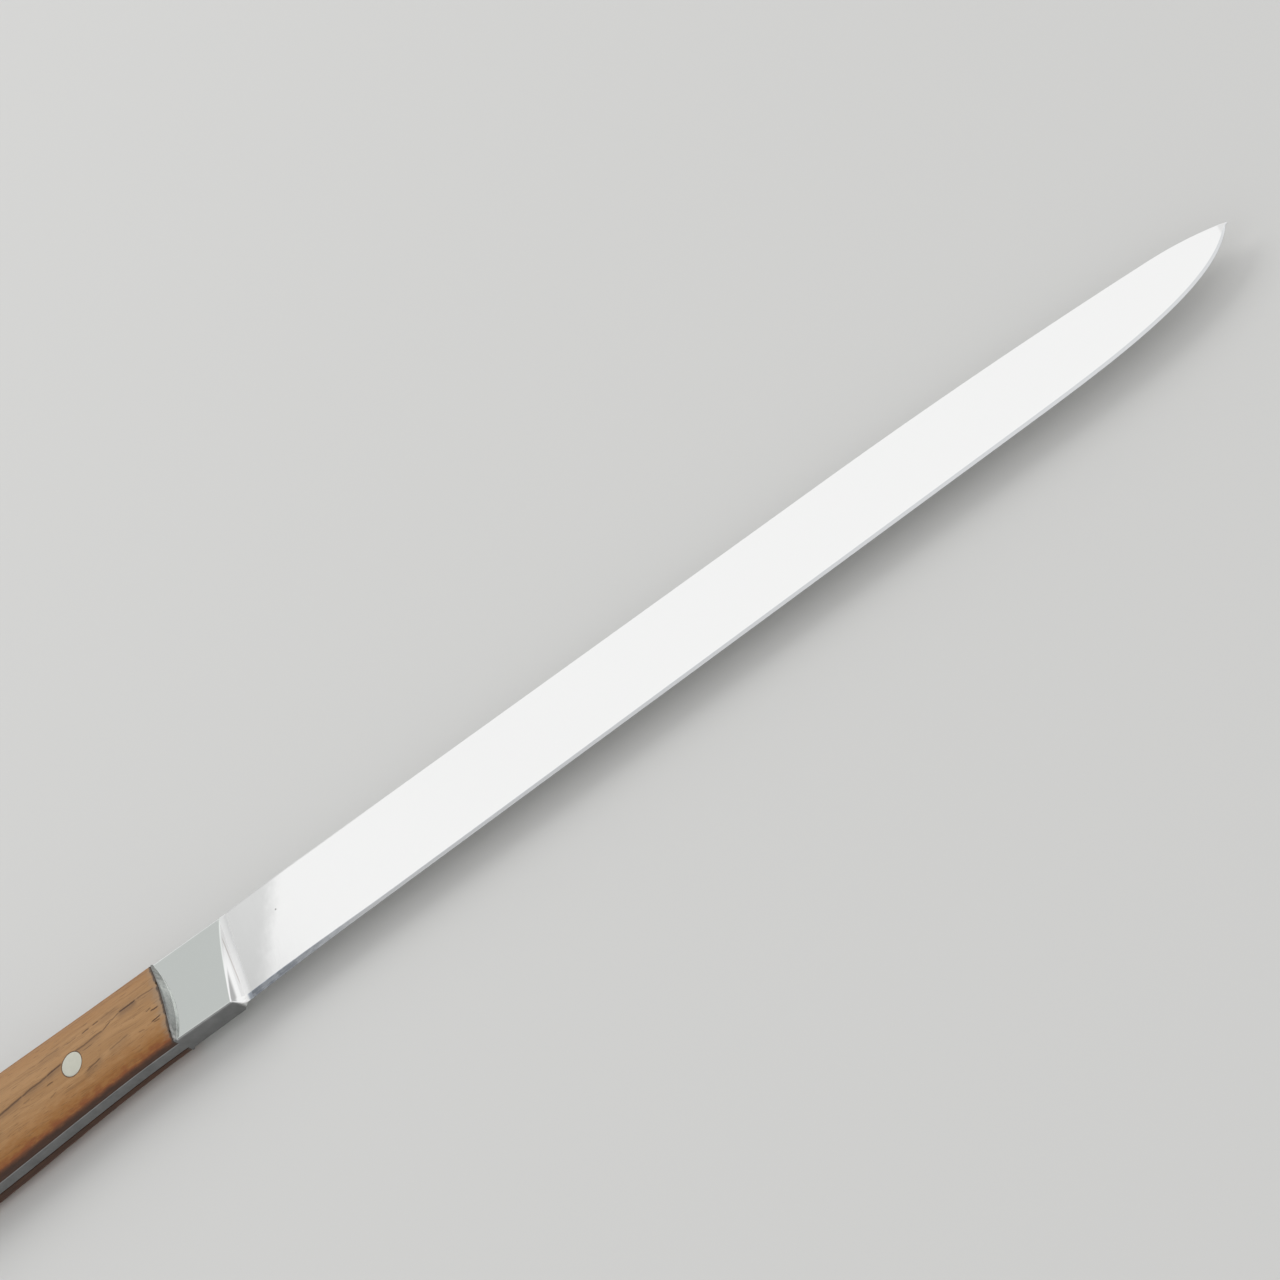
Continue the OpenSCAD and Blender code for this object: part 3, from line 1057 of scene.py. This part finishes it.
@dataclass
class Rivet:
    """One compression rivet: a head with a tube, and a head with a solid shank driven into it."""

    form: KnifeForm
    index: int
    place: str
    chamfer: float = 0.07
    rim_blunt: Span = (0.4, 0.35)
    skirt: float = 0.5
    dish_rings: int = 12
    lift: float = 0.01
    tube_end: float = 0.4
    shank_end: float = 0.5
    shank_ease: float = 0.2
    sharp: float = 40.0

    @property
    def x(self) -> float:
        """Place along the handle."""
        return self.form.rivet_xs[self.index]

    def head_profile(self, tail: Steps) -> Array:
        """Head with a chamfered rim, followed by the tail's own steps down to the axis.

        Args:
            tail: Radius and height of each rim under the head.

        Returns:
            Rows of radius and height.
        """
        top, seat = self.form.head_top(self.x), self.form.head_seat(self.x) + self.lift
        r, c = self.form.head_d / 2, self.chamfer
        dish = [(t * (r - c), top) for t in np.linspace(0, 1, self.dish_rings)]
        blunt = (r - c * self.rim_blunt[0], top - c * self.rim_blunt[1])
        return np.array([*dish, blunt, (r, top - c), (r, seat), *tail], float)

    def crowned(self, piece: Piece, flank: Flank) -> None:
        """Let the top of the head follow the dome of the wood, then turn it to its flank.

        Args:
            piece: The turned half; its points are moved.
            flank: The flank that it belongs to.
        """
        f = self.form
        points = np.empty(len(piece.data.vertices) * 3, np.float32)
        piece.data.vertices.foreach_get("co", points)
        p = points.reshape(-1, 3).astype(float) / MM - f.origin
        head = p[:, 2] > f.head_seat(self.x) + self.skirt
        drop = f.crown(p[:, 0], p[:, 1]) - f.crest(p[:, 0].mean() + 0 * p[:, 0])
        p[:, 2] = (p[:, 2] + np.where(head, drop, 0)) * flank.value
        piece.data.vertices.foreach_set("co", ((p + f.origin) * MM).astype(np.float32).ravel())
        if flank is Flank.LOWER:
            piece.data.flip_normals()
        piece.data.update()

    def build(self, metal: bpy.types.Material) -> list[Piece]:
        """Make both halves: the tube with its blind bore and the shank with an eased end.

        Args:
            metal: Finish of the rivet.

        Returns:
            The two pieces.
        """
        f = self.form
        seat = f.head_seat(self.x)
        outer, inner, pin = f.tube_d / 2, f.shank_d / 2 + f.rivet_play, f.shank_d / 2
        end, reach = self.tube_end - seat, self.shank_end - seat
        tube = [(outer, seat), (outer, end), (inner, end), (inner, seat), (0, seat)]
        shank = [
            (pin, seat), (pin, reach + self.shank_ease), (pin - self.shank_ease, reach), (0, reach)
        ]
        pieces = []
        for flank, kind, tail in ((Flank.UPPER, "tube", tube), (Flank.LOWER, "shank", shank)):
            name, node = f"{self.place}_{kind}_rivet", f"{self.place}_rivet_{kind}"
            piece = lathe(name, self.head_profile(tail), f.rivet_centre(self.x), f)
            self.crowned(piece, flank)
            pieces.append(dress(piece, metal, self.sharp, node))
        return pieces


def operator(operation: str, reflected: bool = False) -> Callable[["Sock", Any], "Sock"]:
    """Make an operator of Sock that adds one Math node.

    Args:
        operation: Blender's name of the operation.
        reflected: Whether the socket is the right-hand value.

    Returns:
        The method.
    """

    def method(self: "Sock", other: Any) -> "Sock":
        """Add the node."""
        return self.tree.arithmetic(operation, *((other, self) if reflected else (self, other)))

    return method


class Sock:
    """A shader socket whose Python operators add Math nodes; the bar takes the larger value."""

    __add__, __radd__ = operator("ADD"), operator("ADD", reflected=True)
    __sub__, __rsub__ = operator("SUBTRACT"), operator("SUBTRACT", reflected=True)
    __mul__, __rmul__ = operator("MULTIPLY"), operator("MULTIPLY", reflected=True)
    __truediv__, __rtruediv__ = operator("DIVIDE"), operator("DIVIDE", reflected=True)
    __pow__, __rpow__ = operator("POWER"), operator("POWER", reflected=True)
    __or__ = operator("MAXIMUM")

    def __init__(self, tree: "ShaderTree", socket: Any) -> None:
        """Keep the tree and the socket."""
        self.tree = tree
        self.socket = socket

    def __neg__(self) -> "Sock":
        """Opposite."""
        return self * -1.0

    def __abs__(self) -> "Sock":
        """Distance from zero."""
        return self.tree.arithmetic("ABSOLUTE", self)

    def away(self, other: "Sock", centre: Sequence[float]) -> "Sock":
        """Distance from a centre of the point that this value and another one give."""
        x, y = self - centre[0], other - centre[1]
        return (x * x + y * y) ** 0.5

    def near(self, centre: Any, reach: float) -> "Sock":
        """Soft bump: 1 at the centre, 0 at the reach from it and beyond."""
        return 1 - abs(self - centre).step(0.0, reach)

    def within(self, low: float, high: float, soft: float) -> "Sock":
        """1 between low and high, with soft ends."""
        return self.step(low, low + soft) * (1 - self.step(high - soft, high))

    def step(self, low: float, high: float) -> "Sock":
        """Smooth step from 0 at low to 1 at high."""
        inputs = {"Value": self, "From Min": low, "From Max": high}
        return self.tree.add("ShaderNodeMapRange", {"interpolation_type": "SMOOTHSTEP"}, inputs)


class ShaderTree:
    """A node tree with one method that makes every node."""

    def __init__(self, tree: bpy.types.NodeTree) -> None:
        """Empty the tree."""
        self.tree = tree
        tree.nodes.clear()

    def add(self, kind: str, settings: dict[str, Any], inputs: Any = (), output: Any = 0) -> Sock:
        """Make a node.

        Args:
            kind: Blender's name of the node type.
            settings: Properties, which are set first.
            inputs: List by place or dict by key; a Sock is linked and anything else is a value.
            output: Which output the result wraps.

        Returns:
            The chosen output.
        """
        node = self.tree.nodes.new(kind)
        for key, value in settings.items():
            setattr(node, key, value)
        for key, value in inputs.items() if isinstance(inputs, dict) else enumerate(inputs):
            if isinstance(value, Sock):
                self.tree.links.new(value.socket, node.inputs[key])
            else:
                node.inputs[key].default_value = value
        return Sock(self, node.outputs[output] if len(node.outputs) else None)

    def arithmetic(self, operation: str, *values: Any) -> Sock:
        """Add one Math node."""
        return self.add("ShaderNodeMath", {"operation": operation}, values)

    def axes(self, vector: Sock) -> tuple[Sock, Sock, Sock]:
        """Split a vector into its three numbers."""
        return tuple(self.add("ShaderNodeSeparateXYZ", {}, [vector], axis) for axis in range(3))

    def metres(self) -> Sock:
        """Object coordinates."""
        return self.add("ShaderNodeTexCoord", {}, (), "Object")

    def knife(self) -> tuple[Sock, Sock, Sock]:
        """Millimetres from the knife's own zero, as x, y and z."""
        values = [self.metres(), (1 / MM,) * 3, tuple(-KnifeForm().origin)]
        return self.axes(self.add("ShaderNodeVectorMath", {"operation": "MULTIPLY_ADD"}, values))

    def mask(self, name: str) -> Sock:
        """A piece's stored mask."""
        return self.add("ShaderNodeAttribute", {"attribute_name": name}, (), "Fac")

    def grain(
        self, place: Sequence[Sock], rates: Sequence[float], detail: float, rough: float,
        shift: float = 0.0,
    ) -> Sock:
        """Noise in stretched coordinates.

        Args:
            place: Coordinates along the three axes.
            rates: How often the noise changes in a unit of each coordinate.
            detail: Count of finer layers.
            rough: Strength of the finer layers.
            shift: Distance along the third axis, to tell layers of one kind apart.

        Returns:
            Values of about 0 to 1.
        """
        x, y, z = (value * rate for value, rate in zip(place, rates))
        vector = self.add("ShaderNodeCombineXYZ", {}, [x, y, z + shift if shift else z])
        inputs = {"Vector": vector, "Scale": 1.0, "Detail": detail, "Roughness": rough}
        return self.add("ShaderNodeTexNoise", {}, inputs, "Fac")

    def blend(self, share: Any, low: Any, high: Any) -> Sock:
        """Mix two colours by a share."""
        low, high = (tone if isinstance(tone, Sock) else (*tone, 1.0) for tone in (low, high))
        return self.add("ShaderNodeMix", {"data_type": "RGBA"}, {0: share, 6: low, 7: high}, 2)

    def layered(self, base: Any, *layers: tuple[Any, Any]) -> Sock:
        """Lay colours over a base in order, each by its own share."""
        return reduce(lambda colour, layer: self.blend(layer[0], colour, layer[1]), layers, base)

    def bump(self, height: Sock, strength: float, distance: float) -> Sock:
        """Relief too fine for the mesh, as a normal; the distance is in metres."""
        inputs = {"Strength": strength, "Distance": distance, "Height": height}
        return self.add("ShaderNodeBump", {}, inputs, "Normal")


def new_material(name: str) -> tuple[bpy.types.Material, ShaderTree]:
    """Make an empty node material.

    Args:
        name: Its name.

    Returns:
        The material and its tree.
    """
    material = bpy.data.materials.new(name)
    material.use_nodes = True
    return material, ShaderTree(material.node_tree)


def close_material(tree: ShaderTree, **inputs: Any) -> None:
    """End a material with its Principled shader.

    Args:
        tree: The material's tree.
        **inputs: Values or sockets by the shader's own names, with _ for a space.
    """
    named = {key.replace("_", " "): value for key, value in inputs.items()}
    shader = tree.add("ShaderNodeBsdfPrincipled", {}, named)
    tree.add("ShaderNodeOutputMaterial", {}, {"Surface": shader})


@dataclass(frozen=True)
class PolishedSteel:
    """Mirror-polished stainless steel, hazier where the wheel ran out, dulled on the belly, with a
    dark grey painted there as shade and near-black shade with some grime painted into the shoulder
    walls beside the wood.
    """

    colour: Colour = (0.87, 0.872, 0.868)
    bolster: Colour = (0.738, 0.772, 0.748)
    stained: Colour = (0.66, 0.70, 0.69)
    wall: Colour = (0.70, 0.705, 0.685)
    wall_dark: Colour = (0.52, 0.54, 0.53)
    # Near-black painted into the crease of the shoulder walls beside the wood: painted shade with
    # some grime.
    grime_and_shade: Colour = (0.05, 0.045, 0.040)
    # Dark grey painted as shade on the belly faces under bolster and tang.
    belly: Colour = (0.19, 0.193, 0.193)
    honed: Colour = (0.62, 0.66, 0.71)
    honed_dark: Colour = (0.30, 0.33, 0.38)
    hazy: Colour = (0.72, 0.725, 0.72)
    scratch: Colour = (0.42, 0.35, 0.31)
    pitted: Colour = (0.10, 0.10, 0.10)
    stain_span: Span = (0.60, 0.72)
    blotch_span: Span = (0.35, 0.70)
    heel_span: Span = (20.0, 62.0)
    heel_patches: Span = (0.42, 0.66)
    root_span: Span = (27.5, 35.0)
    root_start: Span = (21.9, 22.6)
    root_rise: Span = (-15.0, -5.0)
    pit_x: float = 35.3
    pit_y: float = -7.5
    pit_len: float = 0.46
    pit_w: float = 0.34
    pit_span: Span = (0.35, 0.75)
    roughness: float = 0.07

    def material(self) -> bpy.types.Material:
        """Build the material.

        Returns:
            The finish, which reads the forging's masks by their names.
        """
        material, tree = new_material("polished_steel")
        place = x, y, z = tree.knife()
        names = ("honed", "belly", "wall", "grime_and_shade", "flat", "haze", "mark")
        honed, belly, wall, grime_and_shade, flat, haze, mark = (tree.mask(name) for name in names)
        across = tree.grain(place, (5.0, 0.25, 0.25), 3.0, 0.6)
        along = tree.grain(place, (0.2, 6.0, 6.0), 3.0, 0.6)
        cloud = tree.grain(place, (0.35, 0.35, 0.35), 4.0, 0.6)
        spots = tree.grain(place, (1.1, 1.1, 1.1), 3.0, 0.65)
        patches = tree.grain(place, (0.4, 0.8, 0.8), 3.0, 0.55, 4.0)
        stain = spots.step(*self.stain_span) * flat
        blotch = spots.step(*self.blotch_span)
        heel = (1 - x.step(*self.heel_span)) * honed
        pit = x.near(self.pit_x, self.pit_len) * y.near(self.pit_y, self.pit_w) * z.step(0.0, 0.5)
        slant = x - (y + 12) * 0.5 + (cloud - 0.5) * 5.0 + (across - 0.5) * 2.0
        root = (1 - slant.step(*self.root_span)) * (1 - flat) * (1 - haze * 0.5) * (1 - honed)
        root = root * (x.step(*self.root_start) | y.step(*self.root_rise))
        colour = tree.layered(
            self.colour,
            (flat, self.bolster),
            (root, self.hazy),
            (stain * 0.35, self.stained),
            (honed * 0.35 + heel * 0.65, self.honed),
            (heel * (1 - patches.step(*self.heel_patches)) * 0.7, self.honed_dark),
            (wall, tree.blend(blotch, self.wall, self.wall_dark)),
            # Painted shade with some grime in the crease of the shoulder walls.
            (grime_and_shade * (spots * 0.4 + 0.40), self.grime_and_shade),
            # Painted shade: dark grey over the belly faces.
            (belly * (cloud * 0.2 + 0.85), self.belly),
            (mark * 0.60, self.scratch),
            (pit.step(*self.pit_span) * 0.75, self.pitted),
        )
        rough = cloud * 0.03 + across * 0.03 + (self.roughness - 0.03)
        rough = rough + haze * (across * 0.25 + 0.12) + honed * (along * 0.12 + 0.08)
        rough = rough + belly * 0.30 + wall * (blotch * 0.12 + 0.20) + root * (across * 0.10 + 0.02)
        rough = rough + stain * 0.05
        bump = tree.bump(across * (haze * 0.8 + 0.2) + along * honed, 0.03, 0.0002)
        close_material(tree, Base_Color=colour, Metallic=1.0, Roughness=rough, Normal=bump)
        return material


@dataclass(frozen=True)
class HandleWood:
    """Open-grained brown hardwood, worn smooth and soiled at the bolster, with shade painted along
    the belly and a lit rim painted along the top edge.

    A vein is a dark line in the face of the wood: x and y of both ends, width and strength.
    """

    light: Colour = (0.392, 0.222, 0.096)
    dark: Colour = (0.290, 0.152, 0.058)
    # Orange-brown painted along the top edge as its lit rim and along the lower edge as shade.
    edge: Colour = (0.265, 0.108, 0.021)
    pore: Colour = (0.075, 0.034, 0.015)
    worn: Colour = (0.290, 0.205, 0.135)
    # Dark red-brown painted shade along the rounded lower edge.
    belly_edge_shade: Colour = (0.200, 0.058, 0.017)
    # Near-black painted shade on the lower side face of the scale.
    belly: Colour = (0.045, 0.019, 0.010)
    shade: Colour = (0.180, 0.098, 0.047)
    joint: Colour = (0.055, 0.040, 0.032)
    veins: tuple[tuple[float, ...], ...] = (
        (-5.2, -7.7, 0.4, -7.9, 0.24, 0.45),
        (-10.6, -7.75, -5.3, -7.72, 0.30, 1.00),
        (-13.3, -8.6, -10.4, -7.85, 0.24, 0.55),
        (-16.2, -9.65, -13.0, -8.5, 0.26, 0.60),
        (-26.0, -10.1, -15.8, -9.5, 0.28, 0.55),
        (-34.0, -11.3, -29.0, -10.55, 0.34, 0.80),
        (-42.0, -11.95, -33.5, -11.2, 0.40, 0.66),
        (-50.0, -13.0, -41.5, -11.9, 0.42, 0.70),
        (-62.0, -13.8, -49.5, -12.9, 0.32, 0.50),
        (-16.3, -6.2, -11.0, -5.95, 0.18, 0.35),
        (-18.5, -6.42, -16.8, -6.22, 0.22, 0.75),
        (-22.0, -6.55, -19.6, -6.44, 0.24, 0.75),
        (-27.0, -6.7, -23.6, -6.52, 0.18, 0.40),
        (-35.6, -6.35, -28.8, -5.95, 0.20, 0.35),
        (-34.4, -13.68, -32.4, -13.5, 0.22, 0.65),
        (-41.9, -14.0, -39.7, -13.8, 0.20, 0.40),
        (-3.1, -12.45, -1.7, -12.3, 0.20, 0.55),
        (-1.95, -13.0, 0.5, -13.1, 0.22, 0.90),
        (-2.55, -15.68, 0.5, -15.4, 0.22, 0.90),
        (-1.8, -16.0, -0.1, -16.2, 0.20, 0.60),
        (-6.5, -15.95, -4.8, -16.1, 0.18, 0.40),
        (-15.5, -15.25, -9.4, -14.6, 0.20, 0.40),
        (-22.9, -16.5, -18.2, -15.55, 0.24, 0.60),
        (-34.4, -16.9, -32.4, -16.5, 0.20, 0.40),
        (-57.2, -17.8, -49.4, -17.2, 0.20, 0.35),
        (-68.4, -19.8, -58.3, -18.9, 0.20, 0.35),
        (-72.3, -7.4, -58.5, -6.8, 0.18, 0.38),
        (-75.6, -14.3, -61.4, -13.7, 0.30, 0.50),
        (-80.2, -10.3, -66.0, -9.8, 0.16, 0.30),
        (-89.7, -8.1, -76.9, -7.4, 0.18, 0.36),
        (-90.5, -15.1, -75.0, -14.2, 0.26, 0.42),
        (-94.8, -20.2, -83.6, -19.6, 0.20, 0.36),
        (-103.4, -9.0, -91.2, -8.1, 0.20, 0.42),
        (-108.0, -15.4, -93.5, -14.9, 0.18, 0.36),
    )
    vein_blur: float = 1.35
    vein_over: float = 0.3
    shaded_len: float = 4.0
    shade_drop: float = 0.6
    shade_reach: float = 1.9
    shade_over: float = 1.5
    turned_shift: float = 7.0
    growth_at: float = 0.52
    growth_span: Span = (0.003, 0.016)
    pore_span: Span = (0.67, 0.74)
    fine_pore_span: Span = (0.69, 0.78)
    band_span: Span = (0.38, 0.66)
    streak_span: Span = (0.42, 0.75)
    fibre_span: Span = (0.45, 0.8)
    worn_span: Span = (-1.4, 1.8)
    top_span: Span = (0.0, 7.0)
    low_span: Span = (0.5, 8.5)
    belly_edge_shade_span: Span = (0.3, 2.4)
    belly_span: Span = (-0.1, 0.9)
    ring_span: Span = (0.08, 0.32)
    joint_span: Span = (-0.85, -0.35)
    joint_start: Span = (-12.0, -8.0)

    def vein_mask(self, x: Sock, y: Sock, z: Sock, wave: Sock) -> tuple[Sock, Sock]:
        """Add up the veins, each a line that wavers with the wave and darkens the wood below it.

        The lower scale shows the same list turned end for end across the handle and moved along it.

        Args:
            x: Places along the knife.
            y: Places across it.
            z: Heights.
            wave: Noise by which the lines waver.

        Returns:
            The lines and the soft shade beside them.
        """
        form = KnifeForm()
        upper = z.step(-0.5, 0.5)
        x = x - (1 - upper) * self.turned_shift
        y = mix(y * -1.0 + (2 * form.mid_y - 1), y, upper)
        lines, shades = [], []
        for x0, y0, x1, y1, width, strength in self.veins:
            slope, length = (y1 - y0) / (x1 - x0), x1 - x0
            off = y - (x * slope + (y0 - x0 * slope) + (wave - 0.5) * 0.7)
            ends = x.within(x0 - self.vein_over, x1 + self.vein_over, min(1.0, 0.35 * length))
            lines.append(off.near(0.0, width * self.vein_blur) * (ends * strength))
            if length > self.shaded_len:
                low, high = x0 - self.shade_over, x1 + self.shade_over
                side = off.near(-self.shade_drop, self.shade_reach)
                shades.append(side * x.within(low, high, 0.45 * length) * strength)
        return reduce(Sock.__or__, lines), reduce(Sock.__or__, shades)

    def material(self) -> bpy.types.Material:
        """Build the material.

        Returns:
            The finish of both scales.
        """
        material, tree = new_material("handle_wood")
        form = KnifeForm()
        place = x, y, z = tree.knife()
        swell = tree.grain(place, (0.05, 0.12, 0.12), 2.0, 0.5, 3.0)
        bent = (x, y + (swell - 0.5) * 3.0, z)
        bands = tree.grain(bent, (0.012, 0.55, 0.55), 3.0, 0.55)
        streaks = tree.grain(bent, (0.06, 2.6, 2.6), 3.0, 0.6)
        fibres = tree.grain(place, (0.30, 11.0, 11.0), 2.0, 0.6)
        pores = tree.grain(place, (0.26, 4.6, 4.6), 1.0, 0.4)
        fine_pores = tree.grain(place, (0.5, 9.0, 9.0), 1.0, 0.4, 7.0)
        mottle = tree.grain(place, (0.35, 0.9, 0.9), 3.0, 0.6, 11.0)
        wave = tree.grain(place, (0.35, 0.2, 0.2), 3.0, 0.6)
        veins, shades = self.vein_mask(x, y, z, wave)
        uneven = mottle - 0.5
        growth = 1 - abs(bands - self.growth_at).step(*self.growth_span)
        swelling = (x / -form.palm_x).step(0.0, 1.0) * form.belly_swell
        belly = y - form.front_belly_y + swelling
        top = form.top_y - y
        hole = pores.step(*self.pore_span) | fine_pores.step(*self.fine_pore_span) * 0.6
        lines = veins * (fibres * 0.8 + 0.9) | growth * 0.28 | hole * 0.55
        lines = tree.arithmetic("MINIMUM", lines, 1.0)
        front = (x + (swell - 0.5) * 2.0 + uneven * 4.0).step(*self.worn_span)
        colour = tree.layered(
            self.light,
            (bands.step(*self.band_span) * 0.50, self.dark),
            (streaks.step(*self.streak_span) * 0.45, self.dark),
            # Painted rim light: orange-brown tint along the top edge.
            ((1 - top.step(*self.top_span)) * 0.50, self.edge),
            # Painted shade: red-brown darkening towards the lower edge.
            ((1 - (belly + uneven * 5.0).step(*self.low_span)) * 0.90, self.edge),
            (fibres.step(*self.fibre_span) * 0.22, self.pore),
            (front * 0.75, self.worn),
            (shades * 0.75, self.shade),
            (lines, self.pore),
            (self.ring_mask(x, y) * 0.9, self.pore),
            # Painted shade: dark red-brown along the rounded lower edge.
            ((1 - (belly + uneven * 5.0).step(*self.belly_edge_shade_span)) * 0.85, self.belly_edge_shade),
            # Painted shade: near-black on the lower side face of the scale.
            (1 - (belly + uneven * 0.6).step(*self.belly_span), self.belly),
            (self.joint_mask(x, y, uneven) * 0.9, self.joint),
        )
        bump = tree.bump((1 - lines) + fibres * 0.15, 0.35, 0.0001)
        close_material(
            tree, Base_Color=colour, Roughness=streaks * 0.12 + 0.44, Normal=bump,
            Specular_IOR_Level=0.35,
        )
        return material

    def ring_mask(self, x: Sock, y: Sock) -> Sock:
        """Dark ring of old oil round each rivet head.

        Args:
            x: Places along the knife.
            y: Places across it.

        Returns:
            1 beside the heads, fading outward.
        """
        form = KnifeForm()
        centres = [form.rivet_centre(rivet_x).tolist() for rivet_x in form.rivet_xs]
        start, end = (form.head_d / 2 + width for width in self.ring_span)
        rings = [1 - x.away(y, centre).step(start, end) for centre in centres]
        return sum(rings[1:], rings[0])

    def joint_mask(self, x: Sock, y: Sock, uneven: Sock) -> Sock:
        """Dark uneven line where the wood meets the shoulder.

        Args:
            x: Places along the knife.
            y: Places across it.
            uneven: Noise about zero that moves the line's inner side.

        Returns:
            1 at the joint, fading towards the wood.
        """
        form = KnifeForm()
        centre = (form.joint_bulge - form.joint_r, form.mid_y - form.arc_low)
        start, end = (form.joint_r + width for width in self.joint_span)
        reach = x.away(y, centre) + uneven * 1.2
        return reach.step(start, end) * x.step(*self.joint_start)


@dataclass(frozen=True)
class RivetMetal:
    """Pale satin nickel silver."""

    colour: Colour = (0.621, 0.620, 0.535)
    darker: float = 0.90
    rate: float = 900.0

    def material(self) -> bpy.types.Material:
        """Build the material.

        Returns:
            The finish of the rivets.
        """
        material, tree = new_material("rivet_metal")
        cloud = tree.grain(tree.axes(tree.metres()), (self.rate,) * 3, 3.0, 0.6)
        colour = tree.blend(cloud, self.colour, tuple(c * self.darker for c in self.colour))
        close_material(tree, Base_Color=colour, Metallic=0.7, Roughness=cloud * 0.15 + 0.34)
        return material


@dataclass
class Studio:
    """Pale floor, soft light and the camera at the photographed angle, all in metres."""

    camera_place: Place = (0.34978, -0.50198, 0.62725)
    camera_aim: Place = (0.049706, 0.007953, 0.0069)
    camera_roll: float = 59.037
    camera_clip: Span = (0.05, 20.0)
    lens: float = 112.5
    sensor: float = 36.0
    floor_colour: Colour = (0.62, 0.62, 0.61)
    floor_half: float = 3.0
    sky: float = 1.03
    backdrop: float = 0.56
    key_place: Place = (-0.5, 0.9, 1.1)
    key_size: float = 1.0
    key_power: float = 5.0

    def floor(self) -> None:
        """Lay a plain floor under the knife."""
        material, tree = new_material("floor_paper")
        colour = (*self.floor_colour, 1.0)
        close_material(tree, Base_Color=colour, Roughness=0.9, Specular_IOR_Level=0.1)
        h = self.floor_half
        mesh = bpy.data.meshes.new("floor")
        mesh.from_pydata([(-h, -h, 0), (h, -h, 0), (h, h, 0), (-h, h, 0)], [], [(0, 1, 2, 3)])
        mesh.materials.append(material)
        add_object("floor", mesh)

    def world(self) -> None:
        """Soft studio surround, bright overhead and greyer at the left, right and low in front.

        The camera itself sees the tone of the far floor behind the floor's edge.
        """
        world = bpy.data.worlds.new("studio")
        bpy.context.scene.world = world
        world.use_nodes = True
        tree = ShaderTree(world.node_tree)
        x, y, z = tree.axes(tree.add("ShaderNodeTexCoord", {}, (), "Generated"))
        behind = y.step(0.46, 0.52) * (1 - x.step(-0.43, -0.40))
        left = 1 - ((1 - x.step(-0.462, -0.447)) | behind) * z.step(0.40, 0.60) * 0.34
        front = 1 - y.within(-0.30, 0.34, 0.22) * x.within(-0.80, -0.28, 0.10) * 0.74
        dip = 1 - (1 - y.step(0.43, 0.49)) * x.within(-0.41, 0.40, 0.12) * 0.15
        right = 1 - x.step(0.58, 0.76) * y.step(0.10, 0.35) * 0.52
        seen = tree.add("ShaderNodeLightPath", {}, (), "Is Camera Ray")
        level = mix(left * front * dip * right * self.sky, self.backdrop, seen)
        inputs = {"Color": (1, 1, 1, 1), "Strength": level}
        background = tree.add("ShaderNodeBackground", {}, inputs)
        tree.add("ShaderNodeOutputWorld", {}, {"Surface": background})

    def camera(self) -> None:
        """Set the camera: a long lens from the edge's side, rolled about the view line."""
        data = bpy.data.cameras.new("camera")
        data.lens = self.lens
        data.sensor_width = self.sensor
        data.clip_start, data.clip_end = self.camera_clip
        camera = add_object("camera", data)
        roll = Matrix.Rotation(math.radians(-self.camera_roll), 4, "Z")
        camera.matrix_world = facing(self.camera_place, self.camera_aim) @ roll
        bpy.context.scene.camera = camera

    def lamp(self) -> None:
        """A wide soft lamp high at the back left, which only gives the shadow its direction."""
        data = bpy.data.lights.new("key", "AREA")
        data.shape = "SQUARE"
        data.size = self.key_size
        data.energy = self.key_power
        lamp = add_object("key", data)
        lamp.matrix_world = facing(self.key_place, (0.0, 0.0, 0.0))
        lamp.visible_glossy = False


def main() -> None:
    """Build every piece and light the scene."""
    logging.basicConfig(level=logging.INFO, format="%(message)s")
    form = KnifeForm()
    steel = PolishedSteel().material()
    wood = HandleWood().material()
    rivet_metal = RivetMetal().material()
    pieces = [
        Forging(form).build(steel),
        Scale(form, Flank.UPPER, "right_handle_scale", "right_scale", 11).build(wood),
        Scale(form, Flank.LOWER, "left_handle_scale", "left_scale", 23).build(wood),
    ]
    for index, place in enumerate(("front", "middle", "rear")):
        pieces += Rivet(form, index, place).build(rivet_metal)
    for piece in pieces:
        log.info("%s: %d faces", piece.name, len(piece.data.polygons))
    studio = Studio()
    studio.floor()
    studio.world()
    studio.lamp()
    studio.camera()
    bpy.context.scene.view_settings.view_transform = "Standard"


if __name__ == "__main__":
    main()
